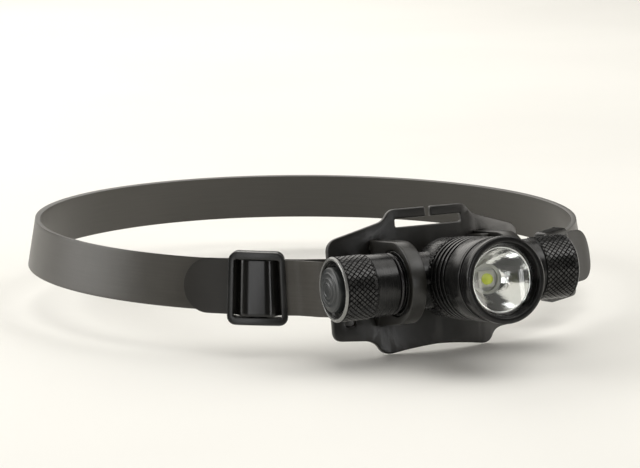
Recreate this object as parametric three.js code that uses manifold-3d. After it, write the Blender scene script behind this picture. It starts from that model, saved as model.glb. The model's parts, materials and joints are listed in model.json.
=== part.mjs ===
// Helmet-mounted firefighter's flashlight: a T-shaped aluminium light on a curved bracket plate,
// held to the helmet by one rubber strap with a tri-glide buckle on each side.
// Millimetres. +Z is up, -Y is forward (the beam), X runs along the light's barrel.
// The origin is the centre of the bracket plate's back face, where it seats on the helmet.
import * as THREE from "three";
import { mergeVertices } from "three/addons/utils/BufferGeometryUtils.js";
import Module from "manifold-3d";

const wasm = await Module();
wasm.setup();

// How the object sits on the helmet
const HELMET_LEAN = THREE.MathUtils.degToRad(10); // the shell slopes back as it rises
const LAMP_DROP = THREE.MathUtils.degToRad(1.4); // rest tilt of the beam below the plate's normal
const AXIS_STANDOFF = 17.6; // plate's back face to barrel axis
const AXIS_DROP = 0.45; // barrel axis below the plate's middle
const GAP = 0.3; // air between neighbouring pieces
const ROUND = 24; // facets round a large turned piece
const SMALL_ROUND = 14; // facets round a small turned piece

// Bracket plate
const PLATE_THICK = 2.2;
const PLATE_FLAT = 6; // half-width of the flat middle
const PLATE_BEND = 0.00474; // backward sweep of the wings, mm per mm squared
const PLATE_TOP = 25.5;
const WING_X = 39.2;
const TOP_SLOT = { halfWidth: 13.5, low: 18.9, high: 21.9, mouth: 2, corner: 0.6 };
const WING_SLOT = { inner: 31.2, outer: 34.8, low: -12.4, slant: 0.7, high: 9.8, corner: 0.8 };
const WING_RELIEF = { low: -15.2, depth: 1.4 }; // blind end below each wing slot
const SCREW_HOLE = { head: 3.1, shank: 1.8, seat: 0.4, cone: 1.1, spare: 0.4 };

// Clamps that carry the barrel
const CLAMP = { inner: 18.3, outer: 24, radius: 14.8, foot: 15.5, bore: 11.75 };
const BUSH = { inner: 18.5, outer: 23.8, bore: 10.5, radius: 11.5 };
const RIB = { inner: 15.4, thick: 1.4, reach: 13.5, height: 14.3 };
const SCREW = { head: 2.7, shank: 1.5, top: 0.6, rim: 0.3, neck: -0.9, tip: -8.5, point: 0.6 };
const SCREW_PLACE = { x: 21.15, z: 12.6 };
const SCREW_FACETS = 16;

// Barrel of the light
const BARREL = { bore: 8.75, radius: 10.25, thread: 9.95, groove: 9.35, end: 33 };
const GROOVE = { inner: 24.2, outer: 26.6 };
const HUB = { radius: 14.4, back: -4.5, front: 10.2, neck: 12.4, neckEnd: 14, passage: 4 };
const HUB_GRIP = { radius: 14.9, start: 6.6, end: 9.6 };
const NECK_SEAL = { radius: 12.1, section: 0.45, groove: 11.5, start: 11.2, end: 12.6 };
const CELL = { radius: 8.45, length: 34.5, nipple: 3, nippleHeight: 1.2, shoulder: 0.4, start: 0.1 };
const CAP = { skirt: 11.2, grip: 11.6, inside: 10.2, open: 26.6, stack: 9.8 };
const CAP_RIM = { outer: 10.9, inner: 10.3, seat: 10, chamfer: 0.7 };
const CAP_STEP = 0.2; // half the length of the slope between skirt and grip
const CAP_EDGE = { length: 0.3, drop: 0.2 };
const SWITCH_CAP = { grip: 35.3, lip: 45.8, mouth: 46.7, end: 48, button: 8.4 };
const BATTERY_CAP = { grip: 32.4, floor: 40, end: 46 };
const CAP_SEAL = { radius: 10.25, section: 0.78, at: 25.45 };

// What the caps hold, as distances out from the middle of the barrel
const BOOT = { flange: 9.6, back: 44.7, front: 45.5, radius: 8, wall: 49, crown: 50.5 };
const BOOT_DOME = [[7.3, 49.7], [4, 50.3]]; // between its side wall and its crown
const PLUNGER = { radius: 1.8, from: 42.1, to: 44.5 };
const CARRIER = { bore: 5, from: 38.4, to: 43.2 };
const SWITCH = { radius: 4.6, from: 38.3, to: 40.8 };
const SWITCH_BOARD = { from: 36.9, to: 38.1 };
const SWITCH_RING = { from: 35.2, to: 36.7 };
const BATTERY_BOARD = { from: 38.2, to: 39.7 };
const BATTERY_RING = { from: 36.6, to: 38 };
const RING_BORE = 7;
const SPRING = { wide: 5, narrow: 3.2, tip: 34.9 };

// Head of the light, measured forward from the barrel axis
const HEAD = { radius: 14.9, fin: 13.6, back: 10.5, bore: 12.4, pocket: 11.2, thread: 12.7, threadEnd: 14.6 };
const FIN_STARTS = [13.1, 16, 18.9]; // where each cooling fin in front of the rear one begins
const FIN_WIDTH = 1.45;
const BAND = { start: 21.3, end: 31.8, neck: 13.1, neckBore: 11.9, neckEnd: 34 };
const WEB = { back: 20.6, front: 23.4, leadX: 6.5, leadHole: 1 };
const BEZEL = { start: 32.1, radius: 14.7, flange: 15.25, step: 36.2, end: 39, mouth: 13.2, opening: 12 };
const BEZEL_BORE = { thread: 13.4, lens: 12.9 };
const LENS = { radius: 12.6, back: 35, front: 36.5 };
const LENS_SEAL = { radius: 12.18, section: 0.38, at: 34.5 };
const MIRROR = { focus: 27.2, back: 26.3, front: 34.85, opening: 10.9, rim: 11.6, rimBack: 33.6, wall: 1 };
const DRIVER = { radius: 10.9, from: 15, to: 16.2 };
const INDUCTOR = { radius: 2.6, from: 16.4, to: 18.3, z: 5 };
const LEAD = { radius: 0.6, from: 16.4, to: 23.45 };
const LED_BOARD = { radius: 8, from: 23.6, to: 25.1 };
const LED_PACKAGE = { half: 2.5, from: 25.25, to: 26 };
const LED_DOME = [[0, 26.15], [1.75, 26.15], [1.68, 26.7], [1.2, 27.3], [0.55, 27.65], [0, 27.75]];
const CENTRING = { bore: 3.75, radius: 5.2, from: 25.25, to: 26 };

// Strap loop round the helmet
const LOOP = { leftWidth: 110, rightWidth: 107, halfDepth: 103, height: -2.2, slope: 0.0205 };
const STRAP = { thick: 2, half: 9.8, layer: 2.3, bar: 5.3, overBar: 2.6 };
const BAR_TURN = { u: 35.6, d: 2.4, radius: 2.9, steps: 10 }; // the strap's turn round the plate's end bar
const BUCKLE = { half: 10.1, sideBar: 8.1, centreBar: 3, rail: 12.9, window: 10.3 };
const BUCKLE_RISE = { bed: 1.4, arch: 3.6, top: 5.8 }; // up from the strap's inner face
const SIDES = [
  { name: "left", sign: 1, buckle: 64, tip: 90.5, lift: 0.5, turnLift: 0 },
  { name: "right", sign: -1, buckle: 61, tip: 91, lift: 3.2, turnLift: 0.3 },
];

const FINISH = {
  anodised: { color: 0x17181a, roughness: 0.32, metalness: 0.9 },
  mouldedBlack: { color: 0x24241f, roughness: 0.6, metalness: 0 },
  rubberStrap: { color: 0x46474a, roughness: 0.75, metalness: 0 },
  glossBlack: { color: 0x16171a, roughness: 0.25, metalness: 0 },
  boot: { color: 0x3b4247, roughness: 0.6, metalness: 0 },
  seal: { color: 0x141016, roughness: 0.4, metalness: 0 },
  steel: { color: 0xb0b2b5, roughness: 0.35, metalness: 1 },
  brass: { color: 0xc49a4a, roughness: 0.35, metalness: 1 },
  chrome: { color: 0xe6e8ea, roughness: 0.05, metalness: 1 },
  glass: { color: 0xdfe8ea, roughness: 0.02, metalness: 0 },
  board: { color: 0x1d4a2c, roughness: 0.5, metalness: 0 },
  aluminiumBoard: { color: 0xd5d6d2, roughness: 0.5, metalness: 0.2 },
  ceramic: { color: 0xe9e7dc, roughness: 0.6, metalness: 0 },
  phosphor: { color: 0xcfd63c, roughness: 0.4, metalness: 0 },
  white: { color: 0xe8e8e4, roughness: 0.6, metalness: 0 },
  red: { color: 0xa81f1c, roughness: 0.5, metalness: 0 },
  black: { color: 0x1a1a1a, roughness: 0.5, metalness: 0 },
  cell: { color: 0x3a5a7a, roughness: 0.35, metalness: 0.3 },
};

function material(finish) {
  return new THREE.MeshStandardMaterial(FINISH[finish]);
}

function add(group, name, geometry, finish) {
  const mesh = new THREE.Mesh(geometry, material(finish));
  mesh.name = name;
  group.add(mesh);
  return mesh;
}

// ---- solids ----

function solid(geometry) {
  const bare = geometry.clone();
  bare.deleteAttribute("normal");
  bare.deleteAttribute("uv");
  const merged = mergeVertices(bare, 1e-4);
  const index = new Uint32Array(merged.index.array);
  const vertProperties = merged.attributes.position.array;
  return new wasm.Manifold(new wasm.Mesh({ numProp: 3, vertProperties, triVerts: index }));
}

function geometryOf(manifold) {
  const mesh = manifold.getMesh();
  const geometry = new THREE.BufferGeometry();
  geometry.setAttribute("position", new THREE.BufferAttribute(mesh.vertProperties, 3));
  geometry.setIndex(new THREE.BufferAttribute(mesh.triVerts, 1));
  geometry.computeVertexNormals();
  return geometry;
}

// A closed [radius, distance] outline turned round the Y axis, faces outward.
function turned(outline, facets) {
  const points = outline.map(([r, y]) => new THREE.Vector2(r, y));
  if (THREE.ShapeUtils.area(points) < 0) points.reverse();
  points.push(points[0].clone());
  return new THREE.LatheGeometry(points, facets);
}

// The same, with distance measured along +X.
function turnedAlongX(outline, facets = ROUND) {
  return turned(outline, facets).rotateZ(-Math.PI / 2);
}

// The same, with distance measured forward, along -Y.
function turnedForward(outline, facets = ROUND) {
  return turned(outline.map(([r, s]) => [r, -s]), facets);
}

function rod(radius, from, to) {
  return [[0, from], [radius, from], [radius, to], [0, to]];
}

function ring(inner, outer, from, to) {
  return [[inner, from], [outer, from], [outer, to], [inner, to]];
}

function sealProfile(radius, section, at, facets = 8) {
  return Array.from({ length: facets }, (_, i) => {
    const a = (i / facets) * 2 * Math.PI;
    return [radius + section * Math.cos(a), at + section * Math.sin(a)];
  });
}

function block(lowX, highX, lowY, highY, lowZ, highZ) {
  const box = new THREE.BoxGeometry(highX - lowX, highY - lowY, highZ - lowZ);
  return box.translate((lowX + highX) / 2, (lowY + highY) / 2, (lowZ + highZ) / 2);
}

// ---- bracket plate, clamps and screws ----

function sweepBack(x) {
  const reach = Math.max(Math.abs(x) - PLATE_FLAT, 0);
  return PLATE_BEND * reach * reach;
}

// Everything between two offsets of the plate's curved back face, as a solid 80 mm tall.
function curvedSlab(front, back) {
  const half = WING_X + 3;
  const steps = 28;
  const shape = new THREE.Shape();
  const xs = Array.from({ length: steps + 1 }, (_, i) => -half + (2 * half * i) / steps);
  const onEdge = (x) => Math.abs(Math.abs(x) - PLATE_FLAT) < half / steps;
  const edge = xs.map((x) => (onEdge(x) ? Math.sign(x) * PLATE_FLAT : x));
  shape.moveTo(edge[0], front + sweepBack(edge[0]));
  for (const x of edge.slice(1)) shape.lineTo(x, front + sweepBack(x));
  for (const x of edge.slice().reverse()) shape.lineTo(x, back + sweepBack(x));
  return solid(new THREE.ExtrudeGeometry(shape, { depth: 80, bevelEnabled: false }).translate(0, 0, -40));
}

// Half of the plate's outline, from the middle of its top edge to the middle of its bottom edge.
function plateOutline() {
  const right = (s) => {
    s.lineTo(13, PLATE_TOP);
    s.quadraticCurveTo(15.6, PLATE_TOP, 16.9, 23.3);
    s.quadraticCurveTo(18, 21.6, 20.2, 21);
    s.lineTo(35.6, 16.8);
    s.quadraticCurveTo(39, 15.6, WING_X - 0.1, 12);
    s.lineTo(WING_X, -16.5);
    s.quadraticCurveTo(WING_X, -20.2, 36, -20.4);
    s.lineTo(28, -21);
    s.quadraticCurveTo(24.6, -21.5, 23.4, -23.8);
    s.quadraticCurveTo(22, -26.6, 18.6, -26.4);
    s.quadraticCurveTo(9, -24.9, 0, -24.6);
  };
  const half = new THREE.Shape();
  half.moveTo(0, PLATE_TOP);
  right(half);
  const points = half.getPoints(4);
  const mirrored = points.slice(1, -1).reverse().map((p) => new THREE.Vector2(-p.x, p.y));
  return new THREE.Shape([...points, ...mirrored]);
}

// Extrudes an outline drawn in X and Z through a span of Y.
function throughY(shape, from, to) {
  const geometry = new THREE.ExtrudeGeometry(shape, { depth: to - from, bevelEnabled: false });
  return geometry.rotateX(Math.PI / 2).translate(0, to, 0);
}

function roundedRect(lowX, highX, lowZ, highZ, radius) {
  const shape = new THREE.Shape();
  shape.moveTo(lowX + radius, lowZ);
  shape.lineTo(highX - radius, lowZ);
  shape.quadraticCurveTo(highX, lowZ, highX, lowZ + radius);
  shape.lineTo(highX, highZ - radius);
  shape.quadraticCurveTo(highX, highZ, highX - radius, highZ);
  shape.lineTo(lowX + radius, highZ);
  shape.quadraticCurveTo(lowX, highZ, lowX, highZ - radius);
  shape.lineTo(lowX, lowZ + radius);
  shape.quadraticCurveTo(lowX, lowZ, lowX + radius, lowZ);
  return new THREE.Shape(shape.getPoints(2));
}

const { x: screwX, z: screwZ } = SCREW_PLACE;
const screwSpots = [[screwX, screwZ], [screwX, -screwZ], [-screwX, screwZ], [-screwX, -screwZ]];

function screwHole(x, z) {
  const { head, shank, seat, cone, spare } = SCREW_HOLE;
  const end = SCREW.tip - spare;
  const outline = [[0, 4], [head, 4], [head, seat], [shank, -cone], [shank, end], [0, end]];
  return solid(turned(outline, SMALL_ROUND).translate(x, 0, z));
}

// The slot near the top edge, open upward through a narrow mouth.
function topSlot() {
  const { halfWidth, low, high, mouth, corner } = TOP_SLOT;
  const slot = roundedRect(-halfWidth, halfWidth, low, high, corner);
  const entry = block(-mouth / 2, mouth / 2, -8, 16, (low + high) / 2, PLATE_TOP + 5);
  return solid(throughY(slot, -8, 16)).add(solid(entry));
}

function bracketPlate() {
  let plate = solid(throughY(plateOutline(), -8, 16)).intersect(curvedSlab(-PLATE_THICK, 0));
  plate = plate.subtract(topSlot());
  const reliefDepth = curvedSlab(-PLATE_THICK - 1, WING_RELIEF.depth - PLATE_THICK);
  for (const side of [1, -1]) {
    const ends = [side * WING_SLOT.inner, side * WING_SLOT.outer].sort((a, b) => a - b);
    const low = WING_SLOT.low - side * WING_SLOT.slant; // the strap runs down to the right
    const wing = roundedRect(ends[0], ends[1], low, WING_SLOT.high, WING_SLOT.corner);
    plate = plate.subtract(solid(throughY(wing, -8, 16)));
    const relief = roundedRect(ends[0], ends[1], WING_RELIEF.low, low + 2, WING_SLOT.corner);
    plate = plate.subtract(solid(throughY(relief, -8, 16)).intersect(reliefDepth));
  }
  for (const [x, z] of screwSpots) plate = plate.subtract(screwHole(x, z - AXIS_DROP));
  return geometryOf(plate);
}

// One D-shaped clamp: an arch over the barrel with a straight foot on the plate and two small ribs.
function clamp(side) {
  const arch = new THREE.Shape();
  arch.moveTo(3, -CLAMP.foot);
  arch.lineTo(-AXIS_STANDOFF, -CLAMP.radius);
  arch.absarc(-AXIS_STANDOFF, 0, CLAMP.radius, -Math.PI / 2, Math.PI / 2, true);
  arch.lineTo(3, CLAMP.foot);
  const width = CLAMP.outer - CLAMP.inner;
  const profile = new THREE.Shape(arch.getPoints(14));
  const body = new THREE.ExtrudeGeometry(profile, { depth: width, bevelEnabled: false });
  // The outline's Y and Z become the part's, and its depth runs along X.
  const turn = new THREE.Matrix4().makeBasis(
    new THREE.Vector3(0, 1, 0),
    new THREE.Vector3(0, 0, 1),
    new THREE.Vector3(1, 0, 0),
  );
  body.applyMatrix4(turn).translate(side > 0 ? CLAMP.inner : -CLAMP.outer, 0, 0);
  let piece = solid(body);
  for (const up of [1, -1]) {
    const xs = [side * RIB.inner, side * (CLAMP.inner + 0.5)].sort((a, b) => a - b);
    const zs = [up * (RIB.height - RIB.thick), up * RIB.height].sort((a, b) => a - b);
    piece = piece.add(solid(block(xs[0], xs[1], -RIB.reach, 2, zs[0], zs[1])));
  }
  const bore = turnedAlongX(rod(CLAMP.bore, -40, 40)).translate(0, -AXIS_STANDOFF, 0);
  piece = piece.subtract(solid(bore));
  piece = piece.intersect(curvedSlab(-60, -PLATE_THICK - GAP));
  for (const [x, z] of screwSpots) {
    const hole = turned(rod(SCREW.shank + GAP, 4, SCREW.tip - SCREW_HOLE.spare), SMALL_ROUND);
    piece = piece.subtract(solid(hole.translate(x, 0, z)));
  }
  return geometryOf(piece);
}

function clampScrew(x, z) {
  const { head, top, rim, neck, shank, tip, point } = SCREW;
  const outline = [[0, top], [head, top], [head, rim], [shank, neck]];
  outline.push([shank, tip + point], [shank - point, tip], [0, tip]);
  return turned(outline, SCREW_FACETS).translate(x, 0, z);
}

function buildBracket(group) {
  add(group, "bracket_plate", bracketPlate(), "mouldedBlack");
  const clamping = new THREE.Group();
  clamping.position.z = -AXIS_DROP;
  group.add(clamping);
  for (const side of [-1, 1]) {
    const name = side < 0 ? "left" : "right";
    add(clamping, `clamp_${name}`, clamp(side), "mouldedBlack");
    const outline = ring(BUSH.bore, BUSH.radius, side * BUSH.inner, side * BUSH.outer);
    const bush = add(clamping, `tilt_bush_${name}`, turnedAlongX(outline), "black");
    bush.position.y = -AXIS_STANDOFF;
  }
  screwSpots.forEach(([x, z], i) => add(clamping, `clamp_screw_${i + 1}`, clampScrew(x, z), "steel"));
}

// ---- strap and buckles ----

// Half of the loop's plan, from the front to the back, with its own half width.
function loopSide(halfWidth) {
  const depth = LOOP.halfDepth;
  const curve = new THREE.EllipseCurve(0, depth, halfWidth, depth, -Math.PI / 2, Math.PI / 2);
  curve.arcLengthDivisions = 2000;
  return { curve, length: curve.getLength() };
}

const leftLoop = loopSide(LOOP.leftWidth);
const rightLoop = loopSide(LOOP.rightWidth);
const loopLength = leftLoop.length + rightLoop.length;

function loopNormal(x, y) {
  const halfWidth = x < 0 ? LOOP.leftWidth : LOOP.rightWidth;
  const n = new THREE.Vector2(x / halfWidth ** 2, (y - LOOP.halfDepth) / LOOP.halfDepth ** 2);
  return n.normalize();
}

// The plan point u mm along the loop from the front (positive to -X) and d mm outside it.
function onLoop(u, d) {
  const around = ((u % loopLength) + loopLength) % loopLength;
  const left = around <= leftLoop.length;
  const { curve, length } = left ? leftLoop : rightLoop;
  const point = curve.getPointAt((left ? around : loopLength - around) / length);
  if (left) point.x = -point.x;
  return point.add(loopNormal(point.x, point.y).multiplyScalar(d));
}

// Leans an upright piece with the helmet's wall and drops it to the loop's own slight slope.
function leanWithHelmet(geometry) {
  const p = geometry.attributes.position;
  const taper = Math.tan(HELMET_LEAN);
  for (let i = 0; i < p.count; i++) {
    const x = p.getX(i);
    const y = p.getY(i);
    const z = p.getZ(i) + LOOP.height - x * LOOP.slope;
    const out = loopNormal(x, y);
    // Beside the plate the strap leans as the plate does.
    const wing = THREE.MathUtils.smoothstep(Math.abs(x), 45, 70);
    p.setXYZ(i, x - out.x * wing * z * taper, y - out.y * z * taper, z);
  }
  geometry.computeVertexNormals();
  return geometry;
}

// How far outside the inner layer the outer layer of the strap runs.
function outerLayer(u, side) {
  const overBar = 1 - THREE.MathUtils.smoothstep(Math.abs(u - side.buckle), 3.4, 7.8);
  const overPlate = 1 - THREE.MathUtils.smoothstep(u, 40, 51);
  const tail = THREE.MathUtils.smoothstep(u, side.buckle + 12, side.tip);
  return STRAP.layer + STRAP.overBar * overBar + (STRAP.bar - STRAP.layer) * overPlate + side.lift * tail;
}

// One side of the strap's middle line: the free tip, over the buckle's bar, round the plate's bar.
function strapSide(side) {
  const line = [];
  for (let u = side.tip; u > BAR_TURN.u + 1; u -= 1.5) line.push([u, outerLayer(u, side)]);
  const turn = { ...BAR_TURN, d: BAR_TURN.d + side.turnLift };
  for (let i = 0; i <= turn.steps; i++) {
    const a = (i / turn.steps) * Math.PI;
    line.push([turn.u - turn.radius * Math.sin(a), turn.d + turn.radius * Math.cos(a)]);
  }
  const inner = turn.d - turn.radius; // the inner layer's offset where it leaves the bar
  const settle = (u) => inner * (1 - THREE.MathUtils.smoothstep(u, 38, 52));
  for (let u = turn.u + 3; u < 52; u += 5) line.push([u, settle(u)]);
  return line.map(([u, d]) => onLoop(side.sign * u, d));
}

function strapLine() {
  const [left, right] = SIDES.map(strapSide);
  const back = [];
  const from = 56;
  const steps = 72;
  for (let i = 0; i <= steps; i++) back.push(onLoop(from + ((loopLength - 2 * from) * i) / steps, 0));
  return [...left, ...back, ...right.reverse()];
}

function strap() {
  const line = strapLine();
  const edges = [1, -1].map((side) => line.map((p, i) => {
    const before = line[Math.max(i - 1, 0)];
    const after = line[Math.min(i + 1, line.length - 1)];
    const along = after.clone().sub(before).normalize();
    const half = (side * STRAP.thick) / 2;
    return new THREE.Vector2(p.x - along.y * half, p.y + along.x * half);
  }));
  const outline = new THREE.Shape([...edges[0], ...edges[1].reverse()]);
  const depth = 2 * STRAP.half;
  const ribbon = new THREE.ExtrudeGeometry(outline, { depth, bevelEnabled: false });
  return leanWithHelmet(ribbon.translate(0, 0, -STRAP.half));
}

// A bar of the buckle that follows the loop from u0 to u1, between offsets d0 and d1.
function buckleBar(centre, u0, u1, d0, d1, z0, z1) {
  const steps = Math.max(1, Math.round(Math.abs(u1 - u0) / 4));
  const us = Array.from({ length: steps + 1 }, (_, i) => centre + u0 + ((u1 - u0) * i) / steps);
  const near = us.map((u) => onLoop(u, d0));
  const far = us.map((u) => onLoop(u, d1)).reverse();
  const shape = new THREE.Shape([...near, ...far]);
  const bar = new THREE.ExtrudeGeometry(shape, { depth: z1 - z0, bevelEnabled: false });
  return solid(bar.translate(0, 0, z0));
}

function buckle(side) {
  const at = side.sign * side.buckle;
  const { half, sideBar, centreBar, rail, window } = BUCKLE;
  const { bed, arch, top } = BUCKLE_RISE;
  let piece = buckleBar(at, -half, half, bed, top, window, rail);
  piece = piece.add(buckleBar(at, -half, half, bed, top, -rail, -window));
  for (const end of [1, -1]) {
    piece = piece.add(buckleBar(at, end * sideBar, end * half, arch, top, -rail + 1, rail - 1));
  }
  piece = piece.add(buckleBar(at, -centreBar, centreBar, bed, arch, -rail + 1, rail - 1));
  return leanWithHelmet(geometryOf(piece));
}

function buildStrap(group) {
  add(group, "strap", strap(), "rubberStrap");
  for (const side of SIDES) add(group, `buckle_${side.name}`, buckle(side), "glossBlack");
}

// ---- body and head of the light ----

function bodyTee() {
  const half = [[BARREL.radius, 0], [BARREL.radius, GROOVE.inner], [BARREL.groove, GROOVE.inner]];
  half.push([BARREL.groove, GROOVE.outer], [BARREL.thread, GROOVE.outer], [BARREL.thread, BARREL.end]);
  const mirrored = half.slice(1).map(([r, x]) => [r, -x]).reverse();
  const barrel = turnedAlongX([[0, -BARREL.end], ...mirrored, ...half.slice(1), [0, BARREL.end]]);
  const { radius, start, end } = HUB_GRIP;
  const hub = [[0, HUB.back], [HUB.radius - 0.6, HUB.back], [HUB.radius, HUB.back + 0.6]];
  hub.push([HUB.radius, start], [radius, start], [radius, end], [HUB.radius, end], [HUB.radius, HUB.front]);
  hub.push([HUB.neck, HUB.front], [HUB.neck, NECK_SEAL.start], [NECK_SEAL.groove, NECK_SEAL.start]);
  hub.push([NECK_SEAL.groove, NECK_SEAL.end], [HUB.neck, NECK_SEAL.end]);
  hub.push([HUB.neck, HUB.neckEnd], [0, HUB.neckEnd]);
  let body = solid(barrel).add(solid(turnedForward(hub)));
  body = body.subtract(solid(turnedAlongX(rod(BARREL.bore, -50, 50))));
  body = body.subtract(solid(turnedForward(rod(HUB.passage, 0, 20), SMALL_ROUND)));
  return geometryOf(body);
}

function headHousing() {
  const outline = [[HEAD.thread, HEAD.back], [HEAD.radius, HEAD.back], [HEAD.radius, HEAD.back + 1.1]];
  outline.push([HEAD.fin, HEAD.back + 1.2]);
  for (const start of FIN_STARTS) {
    const end = start + FIN_WIDTH;
    outline.push([HEAD.fin, start - 0.1], [HEAD.radius, start], [HEAD.radius, end], [HEAD.fin, end + 0.1]);
  }
  outline.push([HEAD.fin, BAND.start - 0.1], [HEAD.radius, BAND.start], [HEAD.radius, BAND.end]);
  outline.push([BAND.neck, BAND.end], [BAND.neck, BAND.neckEnd], [BAND.neckBore, BAND.neckEnd]);
  outline.push([BAND.neckBore, BAND.end], [HEAD.bore, BAND.end], [HEAD.bore, WEB.front], [0, WEB.front]);
  outline.push([0, WEB.back], [HEAD.pocket, WEB.back]);
  outline.push([HEAD.pocket, HEAD.threadEnd], [HEAD.thread, HEAD.threadEnd]);
  let housing = solid(turnedForward(outline));
  for (const x of [WEB.leadX, -WEB.leadX]) {
    const hole = turnedForward(rod(WEB.leadHole, WEB.back - 1, WEB.front + 1), SMALL_ROUND);
    hole.translate(x, 0, 0);
    housing = housing.subtract(solid(hole));
  }
  return geometryOf(housing);
}

function bezel() {
  const { start, radius, flange, step, end, mouth, opening } = BEZEL;
  const { thread, lens } = BEZEL_BORE;
  const lip = LENS.front + GAP / 2;
  const outline = [[thread, start], [radius, start], [radius, step - 0.2], [flange, step + 0.2]];
  outline.push([flange, end - 0.4], [flange - 0.4, end], [mouth, end], [opening, lip]);
  outline.push([lens, lip], [lens, BAND.neckEnd + GAP], [thread, BAND.neckEnd + GAP]);
  return turnedForward(outline);
}

// A parabolic cup whose focus is the light source.
function reflector() {
  const reach = MIRROR.front - MIRROR.focus;
  const focal = (-reach + Math.hypot(reach, MIRROR.opening)) / 2;
  const vertex = MIRROR.focus - focal;
  const mirror = (s) => Math.sqrt(4 * focal * (s - vertex));
  const steps = 7;
  const inner = [];
  for (let i = 0; i <= steps; i++) {
    const s = MIRROR.back + ((MIRROR.front - MIRROR.back) * i) / steps;
    inner.push([mirror(s), s]);
  }
  const outer = inner.slice(0, -1).map(([r, s]) => [Math.min(r + MIRROR.wall, MIRROR.rim - 0.3), s]);
  outer.push([MIRROR.rim - 0.3, MIRROR.rimBack], [MIRROR.rim, MIRROR.rimBack], [MIRROR.rim, MIRROR.front]);
  return turnedForward([...inner, ...outer.reverse()]);
}

function disc(part) {
  return turnedForward(rod(part.radius, part.from, part.to));
}

function buildHead(group) {
  add(group, "body_tee", bodyTee(), "anodised");
  const neckMiddle = (NECK_SEAL.start + NECK_SEAL.end) / 2;
  const neckRing = sealProfile(NECK_SEAL.radius, NECK_SEAL.section, neckMiddle);
  add(group, "neck_seal", turnedForward(neckRing), "seal");
  add(group, "head_housing", headHousing(), "anodised");
  add(group, "driver_board", disc(DRIVER), "board");
  add(group, "driver_inductor", disc(INDUCTOR).translate(0, 0, INDUCTOR.z), "black");
  for (const [name, side] of [["lead_red", 1], ["lead_black", -1]]) {
    const lead = turnedForward(rod(LEAD.radius, LEAD.from, LEAD.to), 8).translate(side * WEB.leadX, 0, 0);
    add(group, name, lead, side > 0 ? "red" : "black");
  }
  add(group, "led_board", disc(LED_BOARD), "aluminiumBoard");
  const { half, from, to } = LED_PACKAGE;
  add(group, "led_package", block(-half, half, -to, -from, -half, half), "ceramic");
  add(group, "led_dome", turnedForward(LED_DOME, SMALL_ROUND), "phosphor");
  const centring = ring(CENTRING.bore, CENTRING.radius, CENTRING.from, CENTRING.to);
  add(group, "centring_ring", turnedForward(centring), "white");
  add(group, "reflector", reflector(), "chrome");
  const lensRing = sealProfile(LENS_SEAL.radius, LENS_SEAL.section, LENS_SEAL.at);
  add(group, "lens_seal", turnedForward(lensRing), "seal");
  add(group, "lens", turnedForward(rod(LENS.radius, LENS.back, LENS.front)), "glass");
  add(group, "bezel", bezel(), "anodised");
}

// ---- cells, switch cap and battery cap ----

function cell(start) {
  const { radius, length, nipple, nippleHeight, shoulder } = CELL;
  const can = start + nippleHeight;
  const outline = [[0, start], [nipple, start], [nipple, can], [radius - shoulder, can]];
  outline.push([radius, can + shoulder], [radius, start + length], [0, start + length]);
  return turnedAlongX(outline);
}

// The outside of a cap, from the chamfer of its closed end to the edge of its open end.
function capOutside(end, grip) {
  const outline = [[CAP_RIM.outer, end], [CAP.grip, end - CAP_RIM.chamfer], [CAP.grip, grip + CAP_STEP]];
  outline.push([CAP.skirt, grip - CAP_STEP], [CAP.skirt, CAP.open + CAP_EDGE.length]);
  outline.push([CAP.skirt - CAP_EDGE.drop, CAP.open], [CAP.inside, CAP.open]);
  return outline;
}

function mirroredAlongX(outline) {
  return outline.map(([r, x]) => [r, -x]);
}

function switchCap() {
  const { grip, lip, mouth, end, button } = SWITCH_CAP;
  const outline = [[button, mouth], [CAP_RIM.seat, mouth], [CAP_RIM.inner, end], ...capOutside(end, grip)];
  outline.push([CAP.inside, lip], [button, lip]);
  return turnedAlongX(mirroredAlongX(outline));
}

function batteryCap() {
  const { grip, floor, end } = BATTERY_CAP;
  return turnedAlongX([[0, end], ...capOutside(end, grip), [CAP.inside, floor], [0, floor]]);
}

function capSeal(side) {
  return turnedAlongX(sealProfile(CAP_SEAL.radius, CAP_SEAL.section, side * CAP_SEAL.at));
}

function buildPower(group) {
  add(group, "cell_1", cell(-CELL.start - CELL.length), "cell");
  add(group, "cell_2", cell(CELL.start), "cell");
  add(group, "cap_seal_left", capSeal(-1), "seal");
  add(group, "cap_seal_right", capSeal(1), "seal");
}

// A piece inside a cap, turned between its two distances out from the middle, on the side given.
function inCap(side, part, radius, bore = 0, facets = ROUND) {
  const outline = bore > 0 ? ring(bore, radius, part.from, part.to) : rod(radius, part.from, part.to);
  return turnedAlongX(side > 0 ? outline : mirroredAlongX(outline), facets);
}

function springCone(side, from) {
  const outline = [[0, from], [SPRING.wide, from], [SPRING.narrow, SPRING.tip], [0, SPRING.tip]];
  return turnedAlongX(side > 0 ? outline : mirroredAlongX(outline), SMALL_ROUND);
}

function buttonBoot() {
  const { flange, back, front, radius, wall, crown } = BOOT;
  const outline = [[0, back], [flange, back], [flange, front], [radius, front], [radius, wall]];
  return turnedAlongX(mirroredAlongX([...outline, ...BOOT_DOME, [0, crown]]));
}

function buildSwitchCap(group) {
  add(group, "switch_cap", switchCap(), "anodised");
  add(group, "button_boot", buttonBoot(), "boot");
  add(group, "button_plunger", inCap(-1, PLUNGER, PLUNGER.radius, 0, SMALL_ROUND), "white");
  add(group, "switch_carrier", inCap(-1, CARRIER, CAP.stack, CARRIER.bore), "black");
  add(group, "switch_body", inCap(-1, SWITCH, SWITCH.radius), "black");
  add(group, "switch_board", inCap(-1, SWITCH_BOARD, CAP.stack), "board");
  add(group, "switch_ring", inCap(-1, SWITCH_RING, CAP.stack, RING_BORE), "brass");
  add(group, "switch_spring", springCone(-1, SWITCH_RING.to), "brass");
}

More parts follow.
